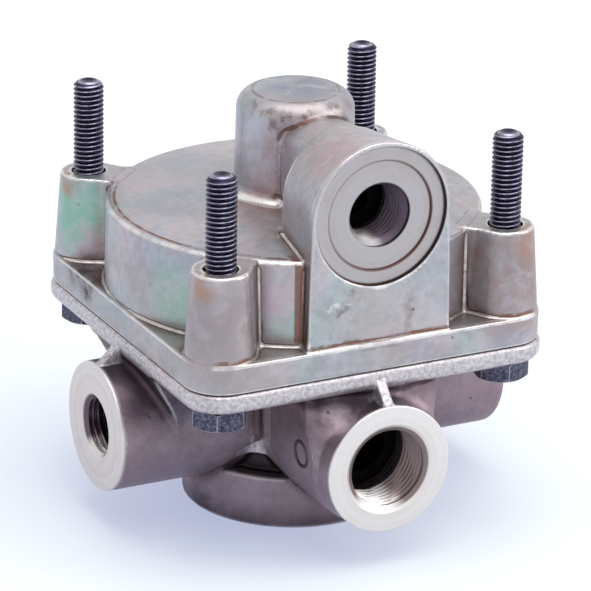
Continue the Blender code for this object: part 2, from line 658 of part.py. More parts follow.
def control_port():
    """Recesses, chamfer, threaded bore and passage of the control port."""
    face = CONTROL_FACE
    pad = face - CONTROL_RECESS_DEPTH
    seat = pad - CONTROL_PAD_DEPTH
    profile = [(0, face + UNION_DEPTH), (CONTROL_RECESS_RADIUS, face + UNION_DEPTH)]
    profile += [(CONTROL_RECESS_RADIUS, pad), (CONTROL_PAD_RADIUS, pad), (CONTROL_PAD_RADIUS, seat)]
    end = seat - CONTROL_BORE_DEPTH
    chamfer = CONTROL_MOUTH_RADIUS - SMALL_BORE_RADIUS
    profile += [(CONTROL_MOUTH_RADIUS, seat), (SMALL_BORE_RADIUS, seat - chamfer)]
    profile += [(SMALL_BORE_RADIUS, end)]
    profile += [(CONTROL_PASSAGE_RADIUS, end - (SMALL_BORE_RADIUS - CONTROL_PASSAGE_RADIUS) / 2)]
    profile += [(CONTROL_PASSAGE_RADIUS, 0), (0, 0)]
    made = turn_towards(turned("control_port", profile, BOSS_STEPS), "front")
    made.location.z = CONTROL_AXIS
    return made


def cover_cavity():
    """Piston bore of the cover, its stop, and the pocket up into the dome."""
    pocket = DOME_RADIUS - DOME_WALL
    stop = PISTON_BORE_RADIUS - ROOF_STOP_WIDTH
    low = COVER_BASE - UNION_DEPTH
    profile = [(0, DOME_TOP - DOME_ROOF), (pocket - CASTING_EDGE, DOME_TOP - DOME_ROOF)]
    profile += [(pocket, DOME_TOP - DOME_ROOF - CASTING_EDGE), (pocket, ROOF_LEVEL + CROWN_RISE)]
    profile += [(stop, ROOF_LEVEL), (stop, PISTON_STOP), (PISTON_BORE_RADIUS, PISTON_STOP)]
    profile += [(PISTON_BORE_RADIUS, low), (0, low)]
    return turned("cover_cavity", profile, BORE_STEPS)


def make_upper_cover():
    """Upper casting with the control port and the four bolt towers."""
    cover = flange_plate("upper_cover", COVER_HALF, COVER_BASE, COVER_FLANGE_TOP,
                         MACHINED_EDGE, COVER_EDGE)
    join(cover, drum_and_dome())
    for name, (x, y) in bolt_places().items():
        join(cover, tower(name, x, y))
    join(cover, control_boss(), control_neck())
    cut(cover, cover_cavity(), control_port())
    cut(cover, *bolt_holes(COVER_BASE - UNION_DEPTH, TOWER_TOP + UNION_DEPTH))
    return make_part(cover, COVER_METAL)


def make_bolts():
    """Four hex bolts, heads under the flange, free ends up as studs."""
    length = STUD_TOP - BOLT_HEAD_TOP
    edge = CASTING_EDGE
    for name, (x, y) in bolt_places().items():
        profile = [(0, length), (STUD_TIP_RADIUS, length), (BOLT_RADIUS, length - STUD_TIP_LENGTH)]
        profile += [(BOLT_RADIUS, -UNION_DEPTH), (0, -UNION_DEPTH)]
        bolt = turned(name, profile, SMALL_STEPS)
        head = turned("head_" + name, [
            (0, 0),
            (BOLT_HEAD_ACROSS_FLATS / math.sqrt(3), 0),
            (BOLT_HEAD_ACROSS_FLATS / math.sqrt(3), -BOLT_HEAD_HEIGHT + edge / 2),
            (BOLT_HEAD_ACROSS_FLATS / 2, -BOLT_HEAD_HEIGHT),
            (0, -BOLT_HEAD_HEIGHT),
        ], 6)
        head.location = (x, y, BOLT_HEAD_TOP)
        bolt.location = (x, y, BOLT_HEAD_TOP)
        join(bolt, head)
        make_part(bolt, BLACK_STEEL)


def sealing_ring(name, radius, cord, level, steps=INNER_STEPS, parent=None):
    """O-ring lying level on the valve axis."""
    bpy.ops.mesh.primitive_torus_add(
        major_radius=radius, minor_radius=cord, major_segments=steps, minor_segments=CORD_STEPS)
    made = bpy.context.object
    made.name = name
    for collection in list(made.users_collection):
        collection.objects.unlink(made)
    HELPERS.objects.link(made)
    made.location = (0, 0, level)
    return make_part(made, RUBBER, parent)


def make_guide_insert():
    """Guide of the valve tube, with the exhaust chamber and the drilled exhaust plate."""
    outer = INSERT_RADIUS
    edge = CASTING_EDGE / 2
    plate = EXHAUST_PLATE
    chamber_top = plate + EXHAUST_CHAMBER_HEIGHT
    height = INSERT_HEIGHT
    sleeve = height + SLEEVE_HEIGHT
    profile = [(0, plate), (EXHAUST_CHAMBER_RADIUS, plate), (EXHAUST_CHAMBER_RADIUS, chamber_top)]
    profile += [(SLEEVE_BORE_RADIUS, chamber_top), (SLEEVE_BORE_RADIUS, sleeve)]
    profile += [(SLEEVE_RADIUS, sleeve), (SLEEVE_RADIUS, height), (outer - edge, height)]
    profile += [(outer, height - edge), (outer, edge), (outer - edge, 0), (0, 0)]
    insert = turned("guide_insert", profile, INNER_STEPS)
    insert.location.z = INSERT_BASE
    low = INSERT_BASE - UNION_DEPTH
    high = INSERT_BASE + plate + edge
    cut(insert, rod("hub_hole", FLAP_STEM_RADIUS + FIT_GAP, low, high))
    for number in range(EXHAUST_HOLE_COUNT):
        angle = math.tau * number / EXHAUST_HOLE_COUNT
        hole = rod(f"exhaust_{number}", EXHAUST_HOLE_RADIUS, low, high, 10)
        hole.location.x = EXHAUST_HOLE_PITCH * math.cos(angle)
        hole.location.y = EXHAUST_HOLE_PITCH * math.sin(angle)
        cut(insert, hole)
    low, high = guide_seal_groove()
    wide = 2 * (GUIDE_SEAL_CORD + FIT_GAP)
    cut(insert, seal_groove("guide_groove", GUIDE_BORE_RADIUS + UNION_DEPTH, wide + UNION_DEPTH,
                            low, high, INNER_STEPS))
    low, high = tube_seal_groove()
    outer = VALVE_TUBE_RADIUS + 2 * (TUBE_SEAL_CORD + FIT_GAP)
    wide = outer - VALVE_TUBE_RADIUS + FIT_GAP
    cut(insert, seal_groove("tube_groove", outer, wide, low, high, INNER_STEPS))
    return make_part(insert, GUIDE_PLASTIC)


def guide_seal_groove():
    """Heights of the groove on the insert's outer side."""
    middle = INSERT_BASE + INSERT_HEIGHT / 2
    half = GUIDE_SEAL_CORD + SEAL_SIDE_GAP
    return middle - half, middle + half


def tube_seal_groove():
    """Heights of the groove in the insert's bore, half way up the guide."""
    middle = (INSERT_BASE + EXHAUST_PLATE + EXHAUST_CHAMBER_HEIGHT + INSERT_TOP) / 2
    half = TUBE_SEAL_CORD + SEAL_SIDE_GAP
    return middle - half, middle + half


def make_retaining_ring():
    """Open snap ring with two lugs, in the groove below the insert."""
    outer = GUIDE_BORE_RADIUS + RETAINING_GROOVE_DEPTH - FIT_GAP
    inner = outer - RETAINING_RING_WIDTH
    lug = inner - RETAINING_LUG_DEPTH
    opening = 14
    lug_end = 22
    outline = arc(0, 0, outer, opening, 360 - opening, 44)
    outline += arc(0, 0, lug, 360 - opening, 360 - lug_end, 2)
    outline += arc(0, 0, inner, 360 - lug_end, lug_end, 40)
    outline += arc(0, 0, lug, lug_end, opening, 2)
    sections = []
    for level in (0, RETAINING_RING_THICKNESS):
        sections.append([(x, y, level) for x, y in outline])
    ring = loft("retaining_ring", sections)
    ring.location.z = MOUTH_DEPTH
    for side in (-1, 1):
        angle = math.radians(side * (opening + lug_end) / 2)
        eye = rod(f"eye_{side}", RETAINING_EYE_RADIUS,
                  MOUTH_DEPTH - UNION_DEPTH, RING_TOP + UNION_DEPTH, 12)
        middle = (lug + outer) / 2
        eye.location.x = middle * math.cos(angle)
        eye.location.y = middle * math.sin(angle)
        cut(ring, eye)
    return make_part(ring, SPRING_STEEL)


def make_exhaust_flap():
    """Rubber flap under the exhaust plate, buttoned through the plate's centre."""
    radius = FLAP_RADIUS
    seat = -FIT_GAP
    shoulder = EXHAUST_PLATE + FIT_GAP
    head = shoulder + FLAP_HEAD_HEIGHT
    profile = [(0, head), (FLAP_STEM_RADIUS, head), (FLAP_HEAD_RADIUS, shoulder)]
    profile += [(FLAP_STEM_RADIUS, shoulder), (FLAP_STEM_RADIUS, seat), (radius, seat)]
    profile += [(radius, seat - FLAP_THICKNESS / 2)]
    profile += [(radius - FLAP_THICKNESS / 2, seat - FLAP_THICKNESS), (0, seat - FLAP_THICKNESS)]
    flap = turned("exhaust_flap", profile, INNER_STEPS)
    flap.location.z = INSERT_BASE
    return make_part(flap, RUBBER)


def make_spring_seat():
    """Flat washer under the valve spring."""
    inner = SLEEVE_RADIUS + FIT_GAP
    outer = inner + SPRING_SEAT_WIDTH
    profile = [(outer, SPRING_SEAT_THICKNESS), (outer, 0), (inner, 0), (inner, SPRING_SEAT_THICKNESS)]
    washer = turned("spring_seat", profile, INNER_STEPS, ring=True)
    washer.location.z = SEAT_WASHER_BASE
    return make_part(washer, SPRING_STEEL)


def make_valve_spring(parent):
    """Compression spring that holds the valve against the inlet seat."""
    points = SPRING_TURNS * 14
    rise = SPRING_HEIGHT - 2 * SPRING_WIRE_RADIUS
    wire = bpy.data.curves.new("valve_spring", "CURVE")
    wire.dimensions = "3D"
    wire.bevel_depth = SPRING_WIRE_RADIUS
    wire.bevel_resolution = 2
    wire.use_fill_caps = True
    path = wire.splines.new("POLY")
    path.points.add(points)
    for number, point in enumerate(path.points):
        angle = math.tau * SPRING_TURNS * number / points
        height = SPRING_WIRE_RADIUS + rise * number / points
        point.co = (SPRING_RADIUS * math.cos(angle), SPRING_RADIUS * math.sin(angle), height, 1)
    spring = bpy.data.objects.new("valve_spring", wire)
    HELPERS.objects.link(spring)
    spring.location = (0, 0, SPRING_BASE)
    return weld_curve(spring, SPRING_STEEL, parent)


def weld_curve(curve, finish, parent):
    """Replace a curve object by a closed mesh part in the same place."""
    depsgraph = bpy.context.evaluated_depsgraph_get()
    mesh = bpy.data.meshes.new_from_object(curve.evaluated_get(depsgraph))
    form = bmesh.new()
    form.from_mesh(mesh)
    bmesh.ops.remove_doubles(form, verts=form.verts, dist=1e-6)
    form.to_mesh(mesh)
    form.free()
    name = curve.name
    place = curve.matrix_world.copy()
    place.translation = curve.location
    bpy.data.objects.remove(curve)
    made = add_object(name, mesh)
    made.matrix_world = place
    return make_part(made, finish, parent)


def make_valve(parent):
    """Hollow double-seat valve: guided tube with a head, and the rubber disc it carries."""
    tube = VALVE_TUBE_RADIUS
    bore = VALVE_BORE_RADIUS
    head = VALVE_HEAD_RADIUS
    rim = VALVE_HEAD_TOP + VALVE_SEAL_THICKNESS / 2 - TUBE_BASE
    top = VALVE_HEAD_TOP - TUBE_BASE
    base = VALVE_HEAD_BASE - TUBE_BASE
    edge = CASTING_EDGE / 3
    profile = [(bore, top), (head - VALVE_HEAD_RIM, top), (head - VALVE_HEAD_RIM, rim)]
    profile += [(head - edge, rim), (head, rim - edge), (head, base + edge), (head - edge, base)]
    profile += [(tube + edge, base), (tube, base - edge), (tube, edge), (tube - edge, 0), (bore, 0)]
    valve = turned("valve_tube", profile, INNER_STEPS, ring=True)
    valve.location.z = TUBE_BASE
    make_part(valve, VALVE_METAL, parent)
    profile = [(VALVE_SEAL_RADIUS, VALVE_SEAL_THICKNESS), (VALVE_SEAL_RADIUS, 0), (bore, 0)]
    profile += [(bore, VALVE_SEAL_THICKNESS)]
    disc = turned("valve_seal_disc", profile, INNER_STEPS, ring=True)
    disc.location.z = VALVE_SEAL_BASE
    make_part(disc, RUBBER, parent)


def make_piston(parent):
    """Relay piston: grooved skirt, crown, and the stem whose end is the exhaust seat."""
    radius = PISTON_RADIUS
    edge = CASTING_EDGE / 2
    inner = radius - PISTON_SKIRT_WALL
    low = PISTON_CROWN_LEVEL
    high = low + PISTON_CROWN
    stem = STEM_BASE - PISTON_BASE
    seat = STEM_RADIUS - STEM_SEAT_WIDTH
    profile = [(0, high), (inner, high), (inner + edge, PISTON_HEIGHT), (radius - edge, PISTON_HEIGHT)]
    profile += [(radius, PISTON_HEIGHT - edge), (radius, edge), (radius - edge, 0), (inner + edge, 0)]
    profile += [(inner, low), (STEM_RADIUS + STEM_FILLET, low), (STEM_RADIUS, low - STEM_FILLET)]
    profile += [(STEM_RADIUS, stem), (seat, stem), (seat, stem + edge), (0, stem + edge)]
    piston = turned("relay_piston", profile, BORE_STEPS)
    piston.location.z = PISTON_BASE
    middle = PISTON_BASE + PISTON_HEIGHT / 2
    half = PISTON_SEAL_CORD + SEAL_SIDE_GAP
    wide = 2 * (PISTON_SEAL_CORD + FIT_GAP)
    cut(piston, seal_groove("piston_groove", PISTON_BORE_RADIUS + UNION_DEPTH, wide + UNION_DEPTH,
                            middle - half, middle + half))
    make_part(piston, PISTON_METAL, parent)
    sealing_ring("piston_seal", PISTON_BORE_RADIUS - FIT_GAP - PISTON_SEAL_CORD, PISTON_SEAL_CORD,
                 middle, BORE_STEPS, parent)


def main():
    """Model every piece of the valve, in its resting position."""
    make_lower_body()
    make_upper_cover()
    make_bolts()
    seal = PISTON_BORE_RADIUS + HOUSING_SEAL_WALL + HOUSING_SEAL_CORD + FIT_GAP
    sealing_ring("housing_seal", seal, HOUSING_SEAL_CORD, COVER_BASE - HOUSING_SEAL_CORD - FIT_GAP,
                 BORE_STEPS)
    make_guide_insert()
    low, high = guide_seal_groove()
    sealing_ring("guide_outer_seal", GUIDE_BORE_RADIUS - FIT_GAP - GUIDE_SEAL_CORD, GUIDE_SEAL_CORD,
                 (low + high) / 2)
    low, high = tube_seal_groove()
    sealing_ring("guide_inner_seal", VALVE_TUBE_RADIUS + FIT_GAP + TUBE_SEAL_CORD, TUBE_SEAL_CORD,
                 (low + high) / 2, INNER_STEPS)
    make_retaining_ring()
    make_exhaust_flap()
    make_spring_seat()
    valve_slide = add_empty("valve_slide", (0, 0, 0))
    piston_slide = add_empty("piston_slide", (0, 0, 0), valve_slide)
    make_valve(valve_slide)
    make_valve_spring(valve_slide)
    make_piston(piston_slide)
    for helper in list(HELPERS.objects):
        bpy.data.objects.remove(helper)


if __name__ == "__main__":
    main()
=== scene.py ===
"""Looks of the compressed-air relay valve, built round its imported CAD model.

The castings are contoured from distance fields, so that every cast fillet and rounded edge is
there; bolts, port faces with their threads, the spring and the inner pieces are numpy surfaces.
Sizes in the classes are millimetres in the CAD's frame: +Z up, -Y to the supply port.
"""

import logging
import math
from dataclasses import dataclass
from enum import Enum
from functools import cache, partial, reduce
from typing import Callable, Optional, Sequence, Union

import bpy
import numpy as np
from mathutils import Matrix, Vector


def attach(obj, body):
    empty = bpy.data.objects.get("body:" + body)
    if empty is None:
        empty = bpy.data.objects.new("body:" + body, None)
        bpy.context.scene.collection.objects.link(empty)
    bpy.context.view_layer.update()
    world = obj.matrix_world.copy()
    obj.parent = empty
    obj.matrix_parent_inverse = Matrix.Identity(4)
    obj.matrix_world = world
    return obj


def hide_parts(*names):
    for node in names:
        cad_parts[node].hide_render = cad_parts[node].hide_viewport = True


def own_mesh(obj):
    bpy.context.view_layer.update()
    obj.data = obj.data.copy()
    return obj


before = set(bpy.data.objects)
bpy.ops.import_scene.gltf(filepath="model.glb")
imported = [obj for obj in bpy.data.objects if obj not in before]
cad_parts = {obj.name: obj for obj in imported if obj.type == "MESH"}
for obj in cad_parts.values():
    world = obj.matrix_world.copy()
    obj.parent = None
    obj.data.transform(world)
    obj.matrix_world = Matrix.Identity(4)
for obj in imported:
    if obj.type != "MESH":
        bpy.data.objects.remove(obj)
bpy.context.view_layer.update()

MM = 0.001
SHARP_ANGLE = math.radians(32)
log = logging.getLogger("relay_valve")

Array = np.ndarray
Measure = Union[Array, float]
Point = tuple[float, float, float]
Field = Callable[[Array, Array, Array], Array]


class Side(Enum):
    """Directions in which a port points."""

    FRONT = "front"
    LEFT = "left"

    def frame(self) -> Array:
        """Turn that brings a profile's axis to this side.

        Returns:
            Rotation whose third column is the outward direction.
        """
        columns = {
            Side.FRONT: ((1, 0, 0), (0, 0, 1), (0, -1, 0)),
            Side.LEFT: ((0, -1, 0), (0, 0, 1), (-1, 0, 0)),
        }
        return np.array(columns[self], float).T


# Distance fields


def join(a: Array, b: Array, radius: float) -> Array:
    """Union of two distances with a concave fillet: a quarter round where both are within its radius."""
    return np.maximum(radius, np.minimum(a, b)) - np.hypot(
        np.maximum(radius - a, 0), np.maximum(radius - b, 0))


def keep(a: Array, b: Array, radius: float) -> Array:
    """Intersection of two distances with a rounded outer edge, the mirror image of join."""
    return -join(-a, -b, radius)


def cut(a: Array, b: Array, radius: float) -> Array:
    """First distance without the second, with the new outer edge rounded."""
    return -join(-a, b, radius)


def rounded_square(x: Array, y: Array, half: float, corner: float) -> Array:
    """Distance in plan to a square with round corners.

    Args:
        x, y: coordinates in plan.
        half: half of the square's width.
        corner: radius of its corners.
    Returns:
        Distance to the outline.
    """
    over_x = np.abs(x) - (half - corner)
    over_y = np.abs(y) - (half - corner)
    outside = np.hypot(np.maximum(over_x, 0), np.maximum(over_y, 0))
    return outside + np.minimum(np.maximum(over_x, over_y), 0) - corner


def between(value: Array, low: float, high: float) -> Array:
    """Distance to the slab between two planes."""
    return np.maximum(low - value, value - high)


def ramp(value: Array, start: float, end: float, first: float, last: float) -> Array:
    """Value that runs straight from first at start to last at end and stays level beyond both."""
    share = np.clip((value - start) / (end - start), 0, 1)
    return first + (last - first) * share


def planes(*spans: tuple[float, float, float]) -> Array:
    """Sampling planes of a lattice along one axis.

    Args:
        spans: start, end and pitch of each span, each following the last.
    Returns:
        Places of the planes.
    """
    parts = []
    for start, end, pitch in spans:
        count = max(1, math.ceil((end - start) / pitch))
        parts.append(np.linspace(start, end, count + 1)[:-1])
    parts.append(np.array([spans[-1][1]]))
    return np.concatenate(parts)


def slope(form: Field, points: Array, reach: float) -> Array:
    """Unit gradient of a field, from its values at the four corners of a small tetrahedron.

    Args:
        form: the field.
        points: where it is read.
        reach: half the side of the cube that holds the tetrahedron.
    Returns:
        Unit vectors, one row per point.
    """
    corners = np.array([(1, -1, -1), (-1, -1, 1), (-1, 1, -1), (1, 1, 1)], float)
    total = np.zeros_like(points)
    for corner in corners:
        near = points + corner * reach
        total += corner * form(near[:, 0], near[:, 1], near[:, 2])[:, None]
    return total / np.maximum(np.linalg.norm(total, axis=1, keepdims=True), 1e-12)


@dataclass
class Contour:
    """Surface of a distance field, one vertex per lattice cell and one quad per crossed edge.

    A cell's vertex is the point that best fits the tangent planes at the crossings of the
    cell's edges, so flat faces stay flat and machined edges stay crisp.
    """

    form: Field
    x: Array
    y: Array
    z: Array

    def sample(self, points: Array) -> Array:
        """Field values at a list of points."""
        return self.form(points[:, 0], points[:, 1], points[:, 2])

    def crossings(self, value: Array, axis: int) -> tuple[Array, Array, Array]:
        """Edges along one axis whose ends lie on different sides of the surface.

        Args:
            value: field on the lattice.
            axis: direction of the edges.
        Returns:
            Lattice indices of the lower ends, crossing points, and whether each lower end is inside.
        """
        near = [slice(None)] * 3
        far = [slice(None)] * 3
        near[axis] = slice(0, -1)
        far[axis] = slice(1, None)
        first = value[tuple(near)]
        last = value[tuple(far)]
        index = np.argwhere((first < 0) != (last < 0))
        rows = tuple(index.T)
        f0 = first[rows].copy()
        f1 = last[rows].copy()
        starts_inside = f0 < 0
        sides = (self.x, self.y, self.z)
        points = np.stack([sides[k][index[:, k]] for k in range(3)], axis=1)
        origin = points[:, axis].copy()
        length = sides[axis][index[:, axis] + 1] - origin
        t0 = np.zeros(len(index))
        t1 = np.ones(len(index))
        for _ in range(7):
            middle = t0 + (t1 - t0) * f0 / (f0 - f1)
            points[:, axis] = origin + length * middle
            found = self.sample(points)
            same = (found < 0) == (f0 < 0)
            t0 = np.where(same, middle, t0)
            f1 = np.where(same, f1 * 0.5, found)
            t1 = np.where(same, t1, middle)
            f0 = np.where(same, found, f0 * 0.5)
        return index, points, starts_inside

    def surface(self) -> tuple[Array, Array]:
        """Contour the field.

        Returns:
            Vertices, and quads that face outwards.
        """
        value = self.form(self.x[:, None, None], self.y[None, :, None], self.z[None, None, :])
        shape = (len(self.x) - 1, len(self.y) - 1, len(self.z) - 1)
        around = ((0, 0), (1, 0), (1, 1), (0, 1))
        ids, spots, flips = [], [], []
        for axis in range(3):
            index, points, starts_inside = self.crossings(value, axis)
            second, third = (axis + 1) % 3, (axis + 2) % 3
            cells = []
            for step_second, step_third in around:
                cell = index.copy()
                cell[:, second] += step_second - 1
                cell[:, third] += step_third - 1
                cells.append(np.ravel_multi_index(tuple(cell.T), shape))
            ids.append(np.stack(cells, axis=1))
            spots.append(points)
            flips.append(starts_inside)
        corner_ids = np.concatenate(ids)
        points = np.concatenate(spots)
        normals = slope(self.form, points, 0.02)
        cells, corner = np.unique(corner_ids.ravel(), return_inverse=True)
        corner = corner.reshape(corner_ids.shape)
        vertices = self.fit(cells, corner, points, normals, shape)
        quads = np.where(np.concatenate(flips)[:, None], corner, corner[:, ::-1])
        return vertices, quads

    def fit(self, cells: Array, corner: Array, points: Array, normals: Array,
            shape: tuple[int, int, int]) -> Array:
        """Vertex of each cell: least squares over the tangent planes, held to the cell.

        Args:
            cells: flat indices of the cells that the surface passes.
            corner: for each crossing, the positions in cells of the four cells round it.
            points: crossing points.
            normals: outward normals there.
            shape: number of cells along each axis.
        Returns:
            One point per cell.
        """
        slot = corner.ravel()
        size = len(cells)
        point = np.repeat(points, 4, axis=0)
        normal = np.repeat(normals, 4, axis=0)
        count = np.bincount(slot, minlength=size)
        total = np.stack([np.bincount(slot, point[:, k], size) for k in range(3)], axis=1)
        centre = total / count[:, None]
        offset = np.einsum("ij,ij->i", normal, point - centre[slot])
        system = np.zeros((size, 3, 3))
        right = np.zeros((size, 3))
        for i in range(3):
            right[:, i] = np.bincount(slot, offset * normal[:, i], size)
            for j in range(3):
                system[:, i, j] = np.bincount(slot, normal[:, i] * normal[:, j], size)
        system += np.eye(3) * 0.04
        found = centre + np.linalg.solve(system, right[:, :, None])[:, :, 0]
        index = np.unravel_index(cells, shape)
        for k, side in enumerate((self.x, self.y, self.z)):
            found[:, k] = np.clip(found[:, k], side[index[k]], side[index[k] + 1])
        away = np.clip(self.sample(found), -0.3, 0.3)
        return found - slope(self.form, found, 0.02) * away[:, None]


# Meshes


def make_mesh(name: str, vertices: Array, faces: Sequence[Sequence[int]]) -> bpy.types.Object:
    """Object with a mesh given in millimetres.

    Args:
        name: name of the piece.
        vertices: points, one row each.
        faces: vertex numbers of each face.
    Returns:
        The linked object, at the origin, smooth except at sharp angles.
    """
    mesh = bpy.data.meshes.new(name)
    mesh.from_pydata((vertices * MM).tolist(), [], faces)
    mesh.validate()
    mesh.shade_smooth()
    mesh.set_sharp_from_angle(angle=SHARP_ANGLE)
    made = bpy.data.objects.new(name, mesh)
    bpy.context.scene.collection.objects.link(made)
    return made


def cast_mesh(name: str, contour: Contour) -> bpy.types.Object:
    """Mesh of a casting with its normals, and its masks for wear, painted glints and painted shade, read off
    the field.

    Each face corner takes the field's slope a little way into its own face, so that fillets
    shade round and machined edges shade crisp. The point attribute "edge" is the field's mean
    bend, above zero on outer edges and below zero in corners; "hollow" is how much the casting
    closes in over a point, from the field's value a few millimetres out along the normal.

    Args:
        name: name of the piece.
        contour: the casting's field and lattice.
    Returns:
        The linked object.
    """
    vertices, quads = contour.surface()
    made = make_mesh(name, vertices, quads.tolist())
    mesh = made.data
    middle = vertices[quads].mean(axis=1)
    corner = vertices[quads] * 0.72 + middle[:, None, :] * 0.28
    mesh.normals_split_custom_set(slope(contour.form, corner.reshape(-1, 3), 0.03).tolist())
    outward = slope(contour.form, vertices, 0.05)
    reach = 0.9
    bend = -6 * contour.sample(vertices)
    for axis in np.eye(3) * reach:
        bend += contour.sample(vertices + axis) + contour.sample(vertices - axis)
    hollow = np.zeros(len(vertices))
    for distance in (2.5, 6.0, 12.0):
        hollow += 1 - contour.sample(vertices + outward * distance) / distance
    for label, values in (("edge", bend / reach), ("hollow", hollow / 3)):
        layer = mesh.attributes.new(label, "FLOAT", "POINT")
        layer.data.foreach_set("value", np.clip(values, -1, 1).astype(np.float32))
    return made


def grid_faces(rows: int, columns: int, wrap_rows: bool) -> list[list[int]]:
    """Quads of a grid whose columns close on themselves, and whose rows may.

    Args:
        rows: rows of points.
        columns: points in a row.
        wrap_rows: whether the last row joins the first.
    Returns:
        Vertex numbers of each quad.
    """
    row = np.arange(rows if wrap_rows else rows - 1)[:, None]
    column = np.arange(columns)[None, :]
    after = (row + 1) % rows
    right = (column + 1) % columns
    corners = ((row, column), (row, right), (after, right), (after, column))
    numbers = [np.broadcast_to(a * columns + b, (len(row), columns)).ravel() for a, b in corners]
    return np.stack(numbers, axis=1).tolist()


def place(points: Array, turn: Array, origin: Sequence[float]) -> Array:
    """Points turned by a rotation matrix, then moved."""
    return points @ turn.T + np.asarray(origin, float)


def arc(centre: tuple[float, float], radius: float, start: float, end: float, steps: int) -> Array:
    """Profile points of an arc, angles in degrees."""
    angle = np.radians(np.linspace(start, end, steps + 1))
    return np.stack([centre[0] + radius * np.cos(angle), centre[1] + radius * np.sin(angle)], axis=1)


def chain(*parts: Sequence) -> Array:
    """Profile made of points and arcs in order."""
    return np.vstack([np.atleast_2d(np.asarray(part, float)) for part in parts])


# Shader nodes


Colour = tuple[float, float, float]
Socket = bpy.types.NodeSocket
Value = Union[Socket, float, Colour]
Step = tuple[str, float, float]
Zone = tuple[Step, ...]

# For each axis, the coordinates across it and where it lies on the second of them.
AXES = {
    "radius": ("x", "y", 0.0),
    "supply": ("x", "z", 26.6),
    "delivery": ("y", "z", 26.6),
    "control": ("x", "z", 91.7),
}


def band(name: str, low: float, high: float, blur: float) -> Zone:
    """Steps of a coordinate that are one from low to high and fade out within the blur."""
    return (name, low - blur, low), (name, high + blur, high)


def bore(name: str, start: float, end: float, along: str) -> Zone:
    """Steps that are one inside a port's bore, behind its thread."""
    return (name, start, end), (along, -46.0, -43.0), (along, -26.0, -28.0)


